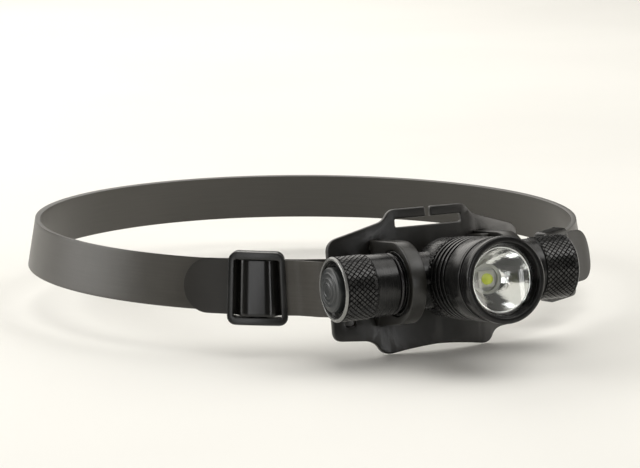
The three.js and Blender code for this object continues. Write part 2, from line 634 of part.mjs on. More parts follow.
function buildBatteryCap(group) {
  add(group, "battery_cap", batteryCap(), "anodised");
  add(group, "battery_contact", inCap(1, BATTERY_BOARD, CAP.stack), "board");
  add(group, "battery_ring", inCap(1, BATTERY_RING, CAP.stack, RING_BORE), "brass");
  add(group, "battery_spring", springCone(1, BATTERY_RING.to), "brass");
}

const flashlight = new THREE.Group();
buildStrap(flashlight);

const bracket = new THREE.Group();
bracket.rotation.x = -HELMET_LEAN;
flashlight.add(bracket);
buildBracket(bracket);

const lamp = new THREE.Group();
lamp.position.set(0, -AXIS_STANDOFF, -AXIS_DROP);
lamp.rotation.x = LAMP_DROP;
bracket.add(lamp);
buildHead(lamp);
buildPower(lamp);
buildSwitchCap(lamp);
buildBatteryCap(lamp);

export default flashlight;
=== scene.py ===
"""Helmet flashlight for firefighters: a T-shaped aluminium light in two clamps on a curved plate,
held to the helmet by one rubber strap with a sliding buckle on each side.

Shapes are drawn in millimetres, in the frame of the part that carries them, and put in place in metres.
+Z is up, -Y is forward (the beam) and X runs along the light's barrel.
"""

import json
from math import atan2, cos, hypot, pi, radians, sin, sqrt, tan

import bmesh
import bpy
from mathutils import Matrix, Vector


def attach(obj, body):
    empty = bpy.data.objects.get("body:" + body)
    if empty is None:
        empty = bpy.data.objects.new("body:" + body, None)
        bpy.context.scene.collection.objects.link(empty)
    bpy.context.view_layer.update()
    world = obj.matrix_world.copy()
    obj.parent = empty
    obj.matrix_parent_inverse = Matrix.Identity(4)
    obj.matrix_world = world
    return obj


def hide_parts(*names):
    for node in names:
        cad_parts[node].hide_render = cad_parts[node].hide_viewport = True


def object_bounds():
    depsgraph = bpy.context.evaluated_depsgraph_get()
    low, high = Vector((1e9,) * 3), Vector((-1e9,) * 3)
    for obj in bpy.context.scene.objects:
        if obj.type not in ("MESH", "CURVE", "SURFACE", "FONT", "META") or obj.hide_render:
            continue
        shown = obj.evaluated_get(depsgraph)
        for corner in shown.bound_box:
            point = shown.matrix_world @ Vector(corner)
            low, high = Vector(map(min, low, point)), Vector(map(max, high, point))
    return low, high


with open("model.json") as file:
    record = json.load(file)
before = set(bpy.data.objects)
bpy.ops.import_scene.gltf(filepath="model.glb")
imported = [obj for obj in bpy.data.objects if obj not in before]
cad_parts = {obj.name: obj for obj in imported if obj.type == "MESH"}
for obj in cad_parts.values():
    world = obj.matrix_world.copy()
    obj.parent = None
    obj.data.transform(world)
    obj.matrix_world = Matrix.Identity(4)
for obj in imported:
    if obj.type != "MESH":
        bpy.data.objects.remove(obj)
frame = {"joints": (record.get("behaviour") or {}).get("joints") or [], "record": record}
CAD_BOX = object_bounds()
MM = 0.001

# ---- where the parts' own frames are ----

HEAD_TILT = next(joint for joint in frame["joints"] if joint["name"] == "head_tilt")
SEAT = next(mount for mount in frame["record"]["mounts"] if mount["name"] == "helmet_seat")
HELMET_LEAN = atan2(-SEAT["axis"][2], SEAT["axis"][1])
LAMP_DROP = radians(1.4)  # rest tilt of the beam below the plate's normal
BARREL_AXIS = Vector(HEAD_TILT["pos_m"]) / MM

BRACKET = Matrix.Rotation(-HELMET_LEAN, 4, "X")
LAMP = Matrix.Translation(BARREL_AXIS) @ Matrix.Rotation(LAMP_DROP - HELMET_LEAN, 4, "X")
RIGHTWARD = LAMP  # turned pieces lie along +X
LEFTWARD = LAMP @ Matrix.Rotation(pi, 4, "Z")
FORWARD = LAMP @ Matrix.Rotation(-pi / 2, 4, "Z")
AXIS_IN_PLATE = BRACKET.inverted() @ BARREL_AXIS
AXIS_STANDOFF = -AXIS_IN_PLATE.y  # plate's back face to barrel axis
CLAMPS = BRACKET @ Matrix.Translation((0, 0, AXIS_IN_PLATE.z))

# ---- sizes ----

STEPS = 96  # facets round a large turned piece
SMALL_STEPS = 40
CORNER_STEPS = 3
SHARP = radians(34)  # edges sharper than this stay crisp

PLATE = {"thick": 2.2, "flat": 6, "bend": 0.00474, "top": 25.5, "wing": 39.2, "round": 0.45}
TOP_SLOT = {"half": 13.5, "low": 18.9, "high": 21.9, "mouth": 1}
WING_SLOT = {"inner": 31.2, "outer": 34.8, "low": -15.2, "high": 9.8, "corner": 0.8}
WING_STEP = {"top": -12.4, "slant": 0.7, "front": -0.8}  # the blind end of each wing slot
CLAMP = {"inner": 18.3, "outer": 24, "radius": 14.8, "foot": 15.5, "bore": 11.75}
RIB = {"inner": 15.4, "outer": 18.8, "reach": 13.5, "low": 12.9, "high": 14.3}
BUSH = {"inner": 18.5, "outer": 23.8, "bore": 10.5, "radius": 11.5}
SCREW = {"x": 21.15, "z": 12.6, "head": 2.7, "shank": 1.5, "tip": 8.5, "socket": 1.25}

BARREL = {"bore": 8.75, "radius": 10.25, "groove": 9.35, "groove_in": 24.2, "groove_out": 26.6, "end": 33}
THREAD = {"root": 9.6, "crest": 9.95, "pitch": 1.5}
HUB = {"back": -4.5, "radius": 14.4, "front": 10.2, "neck": 12.4, "neck_end": 14, "passage": 4}
GRIP_DEPTH = 0.32  # of the knurl's grooves
GRIP_GROOVE = 0.2  # half the width of a groove

LOOP = {"left": 110, "right": 107, "half_depth": 103, "height": -2.2, "slope": 0.0205}
STRAP = {"thick": 2, "half": 9.8, "half_stretched": 9.2, "layer": 2.3, "bar": 5.3, "across": 18}
BAR_TURN = {"u": 35.6, "d": 2.4, "radius": 2.9}
BUCKLE = {"half": 10.1, "side_bar": 8.1, "centre_bar": 3, "rail": 12.9, "window": 10.3, "top": 5.8,
          "bed": 1.4}
BUCKLE_ARCH = 3.6  # height of the side bars' underside above the loop
SIDES = {
    "left": {"sign": 1, "buckle": 64, "tip": 90.5, "lift": 0.5, "turn_lift": 0},
    "right": {"sign": -1, "buckle": 61, "tip": 91, "lift": 3.2, "turn_lift": 0.3},
}


# ---- camera, floor and light ----

CAMERA = {"azimuth": -25.49, "elevation": 10.39, "roll": -0.546, "distance": 996.9, "lens": 145.8}
CAMERA_TARGET = Vector((-12.4, 67.1, 5.8))


def direction(azimuth, elevation):
    """The way someone looks who stands at that azimuth and elevation, in degrees."""
    turn, lift = radians(azimuth), radians(elevation)
    return Vector((-sin(turn) * cos(lift), cos(turn) * cos(lift), -sin(lift)))


def aim(obj, azimuth, elevation, distance, roll=0.0):
    look = direction(azimuth, elevation)
    place = (CAMERA_TARGET - look * distance) * MM
    turn = look.to_track_quat("-Z", "Y").to_matrix().to_4x4()
    obj.matrix_world = Matrix.Translation(place) @ turn @ Matrix.Rotation(radians(roll), 4, "Z")


def make_camera():
    data = bpy.data.cameras.new("camera")
    data.lens = CAMERA["lens"]
    camera = bpy.data.objects.new("camera", data)
    bpy.context.scene.collection.objects.link(camera)
    aim(camera, CAMERA["azimuth"], CAMERA["elevation"], CAMERA["distance"], CAMERA["roll"])
    bpy.context.scene.camera = camera


def softbox(name, azimuth, elevation, distance, width, height, power, tint=(1, 1, 1)):
    data = bpy.data.lights.new(name, "AREA")
    data.shape = "RECTANGLE"
    data.size = width * MM
    data.size_y = height * MM
    data.energy = power
    data.color = tint
    light = bpy.data.objects.new(name, data)
    bpy.context.scene.collection.objects.link(light)
    aim(light, azimuth, elevation, distance)


def make_light():
    sun = bpy.data.lights.new("overhead_sky", "SUN")
    sun.energy = 1.9
    sun.angle = radians(70)
    sun.color = (1, 0.985, 0.95)
    sky = bpy.data.objects.new("overhead_sky", sun)
    bpy.context.scene.collection.objects.link(sky)
    aim(sky, 60, 72, 1000)
    softbox("softbox_right", 64, 13, 1300, 700, 700, 6.5, (1, 0.96, 0.9))
    softbox("softbox_upper_right", 47, 48, 1300, 420, 420, 1.2)
    softbox("softbox_front", 10, 8, 1300, 90, 560, 1.3)
    softbox("softbox_front_left", -42, 12, 1300, 260, 480, 0.9)
    softbox("softbox_left", -118, 20, 1300, 800, 900, 11, (1, 0.99, 0.97))
    softbox("softbox_back", 180, 34, 1500, 1700, 1200, 11, (1, 0.97, 0.92))
    world = bpy.data.worlds.new("studio")
    bpy.context.scene.world = world
    world.use_nodes = True
    background = world.node_tree.nodes["Background"]
    background.inputs["Color"].default_value = (1, 0.98, 0.94, 1)
    background.inputs["Strength"].default_value = 0.05
    bpy.context.scene.view_settings.view_transform = "Standard"


# ---- node tools ----

def node(tree, kind, inputs=None, **settings):
    """One shader node; inputs maps a socket to a value or to another node's output."""
    made = tree.nodes.new(kind)
    for key, value in settings.items():
        setattr(made, key, value)
    for key, value in (inputs or {}).items():
        if isinstance(value, bpy.types.NodeSocket):
            tree.links.new(value, made.inputs[key])
        else:
            made.inputs[key].default_value = value
    return made


def maths(tree, operation, one, two=0.0):
    return node(tree, "ShaderNodeMath", {0: one, 1: two}, operation=operation).outputs[0]


def mix_colour(tree, share, one, two, mode="MIX"):
    mix = tree.nodes.new("ShaderNodeMix")
    mix.data_type = "RGBA"
    mix.blend_type = mode
    for socket, value in ((mix.inputs[0], share), (mix.inputs[6], one), (mix.inputs[7], two)):
        if isinstance(value, bpy.types.NodeSocket):
            tree.links.new(value, socket)
        else:
            socket.default_value = value
    return mix.outputs[2]


def spread(tree, value, low, high, to_low=0.0, to_high=1.0):
    """Maps low..high to to_low..to_high and holds it there."""
    sockets = {"Value": value, "From Min": low, "From Max": high, "To Min": to_low, "To Max": to_high}
    return node(tree, "ShaderNodeMapRange", sockets).outputs["Result"]


def millimetres(tree):
    """Object coordinates in millimetres."""
    place = node(tree, "ShaderNodeTexCoord").outputs["Object"]
    scaled = node(tree, "ShaderNodeVectorMath", {0: place, "Scale": 1 / MM}, operation="SCALE")
    return scaled.outputs["Vector"]


def effect(name, inputs, outputs):
    """An empty node group with float inputs {name: default} and float outputs, and its two ends."""
    tree = bpy.data.node_groups.new(name, "ShaderNodeTree")
    for key, default in inputs.items():
        socket = tree.interface.new_socket(name=key, in_out="INPUT", socket_type="NodeSocketFloat")
        socket.default_value = default
    for key in outputs:
        tree.interface.new_socket(name=key, in_out="OUTPUT", socket_type="NodeSocketFloat")
    start = tree.nodes.new("NodeGroupInput")
    end = tree.nodes.new("NodeGroupOutput")
    return tree, start.outputs, end.inputs


def make_grain():
    """Fine surface texture: an even height, and a slow tone that varies from place to place."""
    tree, given, out = effect("fine_grain", {"Size": 0.3, "Patch": 12.0}, ["Height", "Tone"])
    place = millimetres(tree)
    fine = node(tree, "ShaderNodeTexNoise", {
        "Vector": place, "Scale": maths(tree, "DIVIDE", 1.0, given["Size"]), "Detail": 3.0, "Roughness": 0.6})
    slow = node(tree, "ShaderNodeTexNoise", {
        "Vector": place, "Scale": maths(tree, "DIVIDE", 1.0, given["Patch"]), "Detail": 4.0})
    tree.links.new(fine.outputs[0], out["Height"])
    tree.links.new(spread(tree, slow.outputs[0], 0.3, 0.7), out["Tone"])
    return tree


def make_wear_and_highlight():
    """Worn edges and a painted edge highlight: a mask along convex edges, broken up so that it's never an
    even line.
    """
    tree, given, out = effect("worn_and_highlit_edges", {"Start": 0.52, "End": 0.62, "Amount": 0.6}, ["Mask"])
    edge = node(tree, "ShaderNodeNewGeometry").outputs["Pointiness"]
    convex = spread(tree, edge, given["Start"], given["End"])
    patches = node(tree, "ShaderNodeTexNoise", {"Vector": millimetres(tree), "Scale": 0.45, "Detail": 4.0})
    broken = spread(tree, patches.outputs[0], 0.35, 0.62, 0.25, 1.0)
    mask = maths(tree, "MULTIPLY", maths(tree, "MULTIPLY", convex, broken), given["Amount"])
    tree.links.new(mask, out["Mask"])
    return tree


def make_dust():
    """Pale dust that settles on faces that look up, and sparse specks everywhere."""
    tree, given, out = effect("settled_dust", {"Amount": 0.15}, ["Mask"])
    normal = node(tree, "ShaderNodeNewGeometry").outputs["Normal"]
    up = node(tree, "ShaderNodeSeparateXYZ", {0: normal}).outputs["Z"]
    place = millimetres(tree)
    cloud = node(tree, "ShaderNodeTexNoise",
                 {"Vector": place, "Scale": 0.16, "Detail": 6.0, "Roughness": 0.7})
    film = maths(tree, "MULTIPLY", spread(tree, up, -0.2, 1.0), spread(tree, cloud.outputs[0], 0.4, 0.75))
    speck = node(tree, "ShaderNodeTexVoronoi", {"Vector": place, "Scale": 0.9})
    dots = spread(tree, speck.outputs["Distance"], 0.035, 0.075, 0.8, 0.0)
    both = maths(tree, "MAXIMUM", film, dots)
    tree.links.new(maths(tree, "MULTIPLY", both, given["Amount"]), out["Mask"])
    return tree


def make_lathe():
    """The fine rings that a turning tool leaves, from the wrap map's second coordinate, in millimetres."""
    tree, given, out = effect("lathe_rings", {"Pitch": 0.12}, ["Height", "Tone"])
    wrap = node(tree, "ShaderNodeUVMap", uv_map="wrap").outputs["UV"]
    along = node(tree, "ShaderNodeSeparateXYZ", {0: wrap}).outputs["Y"]
    fine = maths(tree, "DIVIDE", along, given["Pitch"])
    rings = node(tree, "ShaderNodeTexNoise", {"W": fine, "Scale": 1.0, "Detail": 2.0}, noise_dimensions="1D")
    bands = node(tree, "ShaderNodeTexNoise", {"W": along, "Scale": 1.3, "Detail": 3.0}, noise_dimensions="1D")
    tree.links.new(rings.outputs[0], out["Height"])
    tree.links.new(bands.outputs[0], out["Tone"])
    return tree


EFFECTS = {"grain": make_grain(), "wear": make_wear_and_highlight(), "dust": make_dust(), "lathe": make_lathe()}


def place_effect(tree, name, **values):
    made = tree.nodes.new("ShaderNodeGroup")
    made.node_tree = EFFECTS[name]
    for key, value in values.items():
        made.inputs[key.capitalize()].default_value = value
    return made.outputs


def rgb(red, green, blue):
    return (red, green, blue, 1)


# ---- materials ----

def surface(name, dark, light, rough, metallic=0.0, grain=0.3, patch=12.0, bump=0.02,
            wear=None, wear_and_highlight_amount=0.6, dust=0.1, lathe=0.0, **sockets):
    """A finish with tone that varies between two colours, rough (low, high), convex edges and marked rims
    mixed toward an edge colour for real scuffs and a painted highlight, a film of dust, and a fine relief
    bump mm high; lathe is the height of its turning rings in mm."""
    material = bpy.data.materials.new(name)
    material.use_nodes = True
    tree = material.node_tree
    shader = tree.nodes["Principled BSDF"]
    texture = place_effect(tree, "grain", size=grain, patch=patch)
    colour = mix_colour(tree, texture["Tone"], dark, light)
    rough_now = spread(tree, texture["Tone"], 0.0, 1.0, rough[0], rough[1])
    height = maths(tree, "MULTIPLY", texture["Height"], bump)
    if lathe:
        rings = place_effect(tree, "lathe")
        height = maths(tree, "ADD", height, maths(tree, "MULTIPLY", rings["Height"], lathe))
        rough_now = maths(tree, "ADD", rough_now, spread(tree, rings["Tone"], 0.3, 0.7, -0.04, 0.05))
    if wear:
        # Convex edges take the edge colour partly as real wear and partly as a painted edge highlight; the
        # marked rim is a painted highlight.
        edges = place_effect(tree, "wear", amount=wear_and_highlight_amount)
        rim_highlight = node(tree, "ShaderNodeAttribute", attribute_name="painted_rim_highlight").outputs["Fac"]
        share = maths(tree, "MAXIMUM", edges["Mask"], maths(tree, "MULTIPLY", rim_highlight, 0.75))
        colour = mix_colour(tree, share, colour, wear)
    if dust:
        film = place_effect(tree, "dust", amount=dust)
        colour = mix_colour(tree, film["Mask"], colour, rgb(0.42, 0.4, 0.36))
        rough_now = maths(tree, "ADD", rough_now, maths(tree, "MULTIPLY", film["Mask"], 0.5))
    tree.links.new(colour, shader.inputs["Base Color"])
    tree.links.new(rough_now, shader.inputs["Roughness"])
    relief = node(tree, "ShaderNodeBump", {"Height": height, "Distance": MM, "Strength": 1.0})
    tree.links.new(relief.outputs["Normal"], shader.inputs["Normal"])
    shader.inputs["Metallic"].default_value = metallic
    for key, value in sockets.items():
        shader.inputs[key.replace("_", " ")].default_value = value
    return material


def make_strap_rubber():
    """Moulded rubber: fine lengthwise drag marks; painted light on the outer layer between the plate and the
    buckle, painted shade with lower roughness where the strap bends through the buckle's window, and a darker
    tail.
    """
    material = surface("strap_rubber", rgb(0.044, 0.041, 0.035), rgb(0.052, 0.048, 0.042), (0.34, 0.42),
                       grain=0.16, patch=40, bump=0.012, dust=0.05)
    tree = material.node_tree
    shader = tree.nodes["Principled BSDF"]
    wrap = node(tree, "ShaderNodeUVMap", uv_map="wrap").outputs["UV"]
    drawn = node(tree, "ShaderNodeMapping", {"Vector": wrap, "Scale": (0.05, 1.6, 1.0)})
    marks = node(tree, "ShaderNodeTexNoise", {"Vector": drawn.outputs[0], "Scale": 1.0, "Detail": 5.0})
    streaks = spread(tree, marks.outputs[0], 0.35, 0.7, 0.94, 1.05)
    strap_light_and_tone = node(tree, "ShaderNodeAttribute", attribute_name="strap_light_and_tone").outputs["Fac"]
    # Painted light and shade on the strap: lighter between plate and buckle, a painted shadow in the buckle's
    # window, and a darker tail.
    tone = maths(tree, "MULTIPLY", streaks, spread(tree, strap_light_and_tone, -1.0, 1.0, 1.75, 0.4))
    tone = maths(tree, "MULTIPLY", tone, spread(tree, strap_light_and_tone, 1.0, 2.0, 1.0, 0.2))
    rough = shader.inputs["Roughness"].links[0].from_socket
    polish = spread(tree, strap_light_and_tone, 1.0, 2.0, 0.0, -0.2)
    tree.links.new(maths(tree, "ADD", rough, polish), shader.inputs["Roughness"])
    was = shader.inputs["Base Color"].links[0].from_socket
    grey = node(tree, "ShaderNodeCombineXYZ", {0: tone, 1: tone, 2: tone}).outputs[0]
    tree.links.new(mix_colour(tree, 1.0, was, grey, "MULTIPLY"), shader.inputs["Base Color"])
    return material


def make_lens_glass():
    material = surface("lens_glass", rgb(0.97, 0.985, 0.98), rgb(1, 1, 1), (0.0, 0.012), bump=0.0005,
                       grain=4.0, dust=0.0, IOR=1.47)
    material.node_tree.nodes["Principled BSDF"].inputs["Transmission Weight"].default_value = 1.0
    return material


def make_board(name, dark, light, trace, pad):
    """A printed board: a solder mask, copper tracks under it and bare pads."""
    material = surface(name, dark, light, (0.35, 0.45), grain=0.2, bump=0.01, dust=0.05)
    tree = material.node_tree
    shader = tree.nodes["Principled BSDF"]
    place = millimetres(tree)
    cells = node(tree, "ShaderNodeTexBrick", {
        "Vector": node(tree, "ShaderNodeMapping", {"Vector": place, "Rotation": (pi / 2, 0, 0)}).outputs[0],
        "Color1": rgb(0, 0, 0), "Color2": rgb(0, 0, 0), "Mortar": rgb(1, 1, 1), "Scale": 0.5,
        "Mortar Size": 0.09})
    dots = node(tree, "ShaderNodeTexVoronoi", {"Vector": place, "Scale": 0.5})
    was = shader.inputs["Base Color"].links[0].from_socket
    tracks = mix_colour(tree, maths(tree, "MULTIPLY", cells.outputs["Fac"], 0.7), was, trace)
    spots = spread(tree, dots.outputs["Distance"], 0.16, 0.2, 1.0, 0.0)
    tree.links.new(mix_colour(tree, spots, tracks, pad), shader.inputs["Base Color"])
    tree.links.new(spots, shader.inputs["Metallic"])
    return material


def make_cell_wrap():
    """Printed sleeve of a cell: a dark sleeve with a plain pale band part way along it."""
    material = surface("cell_wrap", rgb(0.03, 0.05, 0.09), rgb(0.045, 0.07, 0.12), (0.25, 0.35),
                       bump=0.01, dust=0.04)
    tree = material.node_tree
    shader = tree.nodes["Principled BSDF"]
    along = node(tree, "ShaderNodeSeparateXYZ", {0: millimetres(tree)}).outputs["X"]
    reach = maths(tree, "ABSOLUTE", along)
    band = maths(tree, "GREATER_THAN", maths(tree, "PINGPONG", reach, 17.0), 10.0)
    was = shader.inputs["Base Color"].links[0].from_socket
    striped = mix_colour(tree, band, was, rgb(0.55, 0.56, 0.55))
    tree.links.new(striped, shader.inputs["Base Color"])
    return material


# The edge colours below tint convex edges as worn metal and as a painted edge highlight.
BLACK_METAL = {"metallic": 0.5, "grain": 0.09, "bump": 0.003, "dust": 0.03, "wear": rgb(0.34, 0.34, 0.33)}
MATERIALS = {
    "anodised": surface("anodised", rgb(0.007, 0.007, 0.007), rgb(0.011, 0.011, 0.011), (0.2, 0.27),
                        lathe=0.002, wear_and_highlight_amount=0.3, **BLACK_METAL),
    "moulded_black": surface("moulded_black", rgb(0.0055, 0.005, 0.004), rgb(0.009, 0.0085, 0.007),
                             (0.27, 0.35), grain=0.22, patch=20, bump=0.02, wear=rgb(0.12, 0.115, 0.1),
                             wear_and_highlight_amount=0.7, dust=0.035),
    "strap_rubber": make_strap_rubber(),
    "gloss_black": surface("gloss_black", rgb(0.006, 0.006, 0.0055), rgb(0.01, 0.01, 0.009), (0.2, 0.28),
                           grain=0.4, bump=0.012, wear=rgb(0.07, 0.07, 0.068), wear_and_highlight_amount=0.4, dust=0.04),
    "boot_rubber": surface("boot_rubber", rgb(0.011, 0.013, 0.014), rgb(0.019, 0.022, 0.023), (0.3, 0.4),
                           grain=0.12, bump=0.015, wear=rgb(0.08, 0.085, 0.085), wear_and_highlight_amount=0.4, dust=0.07),
    "seal_rubber": surface("seal_rubber", rgb(0.01, 0.009, 0.01), rgb(0.02, 0.018, 0.02), (0.18, 0.3),
                           grain=0.3, bump=0.01, dust=0.03),
    "steel": surface("steel", rgb(0.42, 0.42, 0.41), rgb(0.56, 0.56, 0.55), (0.22, 0.38), metallic=1.0,
                     grain=0.15, bump=0.01, dust=0.04),
    "brass": surface("brass", rgb(0.58, 0.41, 0.16), rgb(0.75, 0.56, 0.26), (0.2, 0.34), metallic=1.0,
                     grain=0.2, bump=0.008, dust=0.03),
    "mirror": surface("mirror", rgb(0.8, 0.81, 0.8), rgb(0.93, 0.93, 0.92), (0.03, 0.08), metallic=1.0,
                      grain=1.3, bump=0.06, dust=0.0),
    "lens_glass": make_lens_glass(),
    "circuit_board": make_board("circuit_board", rgb(0.012, 0.06, 0.025), rgb(0.02, 0.085, 0.035),
                                rgb(0.05, 0.16, 0.06), rgb(0.75, 0.6, 0.3)),
    "metal_board": make_board("metal_board", rgb(0.62, 0.63, 0.6), rgb(0.72, 0.72, 0.7),
                              rgb(0.5, 0.51, 0.48), rgb(0.7, 0.7, 0.68)),
    "ceramic": surface("ceramic", rgb(0.66, 0.65, 0.58), rgb(0.76, 0.75, 0.7), (0.45, 0.6),
                       bump=0.01, dust=0.03),
    # The phosphor's weak emission is painted light: a faint glow standing in for light that reaches the dome
    # through the lens.
    "phosphor": surface("phosphor", rgb(0.5, 0.6, 0.06), rgb(0.66, 0.72, 0.1), (0.12, 0.25), grain=0.1,
                        patch=1.2, bump=0.01, dust=0.0, Emission_Color=rgb(0.5, 0.56, 0.08),
                        Emission_Strength=0.3),
    "white_plastic": surface("white_plastic", rgb(0.52, 0.53, 0.49), rgb(0.62, 0.63, 0.58), (0.35, 0.5),
                             bump=0.012, dust=0.06),
    "wire_red": surface("wire_red", rgb(0.3, 0.02, 0.015), rgb(0.42, 0.035, 0.025), (0.35, 0.5), dust=0.04),
    "wire_black": surface("wire_black", rgb(0.012, 0.012, 0.012), rgb(0.022, 0.022, 0.022), (0.35, 0.5),
                          dust=0.04),
    "cell_wrap": make_cell_wrap(),
}


# ---- modelling tools ----

def outline(bm, points, closed):
    """A wire of (x, y) or (x, y, corner) points; corner is how far back its corner is rounded."""
    verts = [bm.verts.new((point[0], point[1], 0)) for point in points]
    for one, two in zip(verts, verts[1:]):
        bm.edges.new((one, two))
    if closed:
        bm.edges.new((verts[-1], verts[0]))
    corners = {}
    for vert, point in zip(verts, points):
        if len(point) > 2:
            corners.setdefault(point[2], []).append(vert)
    for corner, chosen in corners.items():
        bmesh.ops.bevel(bm, geom=chosen, offset=corner, segments=CORNER_STEPS, profile=0.5,
                        affect="VERTICES", material=-1)


def turned(points, steps=STEPS, closed=False):
    """Turns an outline of (distance along X, radius, corner) once round the X axis."""
    bm = bmesh.new()
    outline(bm, points, closed)
    bmesh.ops.spin(bm, geom=bm.verts[:] + bm.edges[:], cent=(0, 0, 0), axis=(1, 0, 0), dvec=(0, 0, 0),
                   angle=2 * pi, steps=steps, use_merge=True, use_duplicate=False)
    bmesh.ops.remove_doubles(bm, verts=bm.verts, dist=1e-4)
    bmesh.ops.recalc_face_normals(bm, faces=bm.faces)
    return bm


def wrap_map(bm):
    """Gives a turned piece its wrap map: the way round and the distance along its axis, in millimetres."""
    layer = bm.loops.layers.uv.new("wrap")
    for face in bm.faces:
        middle = face.calc_center_median()
        centre = atan2(middle.z, middle.y)
        for loop in face.loops:
            off = atan2(loop.vert.co.z, loop.vert.co.y) - centre
            off = (off + pi) % (2 * pi) - pi
            loop[layer].uv = ((centre + off) * 10, loop.vert.co.x)


def ease_edges(bm, width, segments=2, least=SHARP):
    """Rounds every edge of a solid that is sharper than least."""
    sharp = [edge for edge in bm.edges if len(edge.link_faces) == 2 and edge.calc_face_angle() > least]
    bmesh.ops.bevel(bm, geom=sharp, offset=width, segments=segments, profile=0.5, affect="EDGES",
                    material=-1, clamp_overlap=True)


def block(bm, low, high, corner):
    """Adds a box with eased edges between two corners."""
    made = bmesh.ops.create_cube(bm, size=1)["verts"]
    size = Vector(high) - Vector(low)
    bmesh.ops.scale(bm, vec=size, verts=made)
    bmesh.ops.translate(bm, vec=(Vector(high) + Vector(low)) / 2, verts=made)
    edges = {edge for vert in made for edge in vert.link_edges}
    bmesh.ops.bevel(bm, geom=list(edges), offset=corner, segments=2, profile=0.5, affect="EDGES", material=-1)


def boolean(bm, tool, operation):
    """bm joined with or cut by another solid."""
    objects = []
    for part in (bm, tool):
        mesh = bpy.data.meshes.new("boolean")
        part.to_mesh(mesh)
        part.free()
        objects.append(bpy.data.objects.new("boolean", mesh))
        bpy.context.scene.collection.objects.link(objects[-1])
    modifier = objects[0].modifiers.new("boolean", "BOOLEAN")
    modifier.object = objects[1]
    modifier.operation = operation
    modifier.solver = "EXACT"
    done = bpy.data.meshes.new_from_object(objects[0].evaluated_get(bpy.context.evaluated_depsgraph_get()))
    result = bmesh.new()
    result.from_mesh(done)
    for part in objects:
        bpy.data.meshes.remove(part.data)
    bpy.data.meshes.remove(done)
    return result


def piece(name, bm, place, body, material, *nodes, slot=None, sharp=SHARP):
    """Makes a shape a named piece in its place: it rides on a body and stands for CAD nodes."""
    bm.transform(Matrix.Scale(MM, 4) @ place)
    for face in bm.faces:
        face.smooth = True
    for edge in bm.edges:
        edge.smooth = len(edge.link_faces) == 2 and edge.calc_face_angle() < sharp
    mesh = bpy.data.meshes.new(name)
    bm.to_mesh(mesh)
    bm.free()
    mesh.materials.append(MATERIALS[material])
    made = bpy.data.objects.new(name, mesh)
    bpy.context.scene.collection.objects.link(made)
    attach(made, body)
    if nodes:
        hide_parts(*nodes)
    return made


def painted_rim_highlight(bm, low, high):
    """Marks the rings of a turned piece between two distances along its axis for a painted highlight in the
    edge colour.
    """
    layer = bm.verts.layers.float.new("painted_rim_highlight")
    for vert in bm.verts:
        vert[layer] = 1 if low <= vert.co.x <= high else 0


def lathe_piece(name, points, place, body, material, *nodes, closed=False, steps=STEPS):
    bm = turned(points, steps, closed)
    wrap_map(bm)
    return piece(name, bm, place, body, material, *nodes)


def seal_outline(at, radius, section):
    """The round section of an O-ring."""
    angles = [2 * pi * i / 14 for i in range(14)]
    return [(at + section * cos(angle), radius + section * sin(angle)) for angle in angles]


# ---- knurled grips ----

def grip_line(start, pitch, rows, radius):
    """Outline points across a knurled band, one for each half pitch."""
    return [(start + row * pitch, radius) for row in range(rows + 1)]


def cut_knurl(bm, start, pitch, rows, radius, columns):
    """Cuts crossed grooves into a turned band and leaves flat-topped diamonds between them."""
    step = 2 * pi / columns
    floor, peaks, band = set(), set(), set()
    for vert in bm.verts:
        row = (vert.co.x - start) / pitch
        if abs(hypot(vert.co.y, vert.co.z) - radius) > 0.01 or not -0.01 < row < rows + 0.01:
            continue
        column = atan2(vert.co.z, vert.co.y) / step
        band.add(vert)
        if (round(row) + round(column)) % 2 == 0:
            floor.add(vert)
        elif 0 < round(row) < rows:
            peaks.add(vert)
    faces = [face for face in bm.faces if all(vert in band for vert in face.verts)]
    shrink = (radius - GRIP_DEPTH) / radius
    for vert in floor:
        vert.co = (vert.co.x, vert.co.y * shrink, vert.co.z * shrink)
    bmesh.ops.triangulate(bm, faces=faces, quad_method="SHORT_EDGE", ngon_method="BEAUTY")
    bmesh.ops.dissolve_verts(bm, verts=list(peaks))
    diamonds = [face for face in bm.faces
                if len(face.verts) == 4 and all(vert in floor for vert in face.verts)]
    bmesh.ops.inset_individual(bm, faces=diamonds, thickness=GRIP_GROOVE, depth=GRIP_DEPTH,
                               use_even_offset=True)


# ---- bracket plate and clamps ----

def bend(x):
    """How far the plate's wings sweep back at x."""
    return PLATE["bend"] * max(abs(x) - PLATE["flat"], 0) ** 2


def curve(start, control, end, steps=8):
    """Points of a quadratic curve after its start."""
    shares = [(i + 1) / steps for i in range(steps)]
    return [tuple((1 - t) ** 2 * start[k] + 2 * t * (1 - t) * control[k] + t * t * end[k] for k in (0, 1))
            for t in shares]


def plate_half():
    """The plate's right half in X and Z, from the middle of its bottom edge to the middle of the top slot."""
    wing, top = PLATE["wing"], PLATE["top"]
    half, low, high, mouth = (TOP_SLOT[key] for key in ("half", "low", "high", "mouth"))
    points = [(0, -24.6)]
    points += curve((0, -24.6), (9, -24.9), (18.6, -26.4))
    points += curve((18.6, -26.4), (22, -26.6), (23.4, -23.8))
    points += curve((23.4, -23.8), (24.6, -21.5), (28, -21))
    points += [(36, -20.4)]
    points += curve((36, -20.4), (wing, -20.2), (wing, -16.5))
    points += [(wing - 0.1, 12)]
    points += curve((wing - 0.1, 12), (39, 15.6), (35.6, 16.8))
    points += [(20.2, 21)]
    points += curve((20.2, 21), (18, 21.6), (16.9, 23.3))
    points += curve((16.9, 23.3), (15.6, top), (13, top))
    points += [(mouth, top, 0.7), (mouth, high, 0.3), (half, high, 0.6), (half, low, 0.6), (0, low)]
    return points


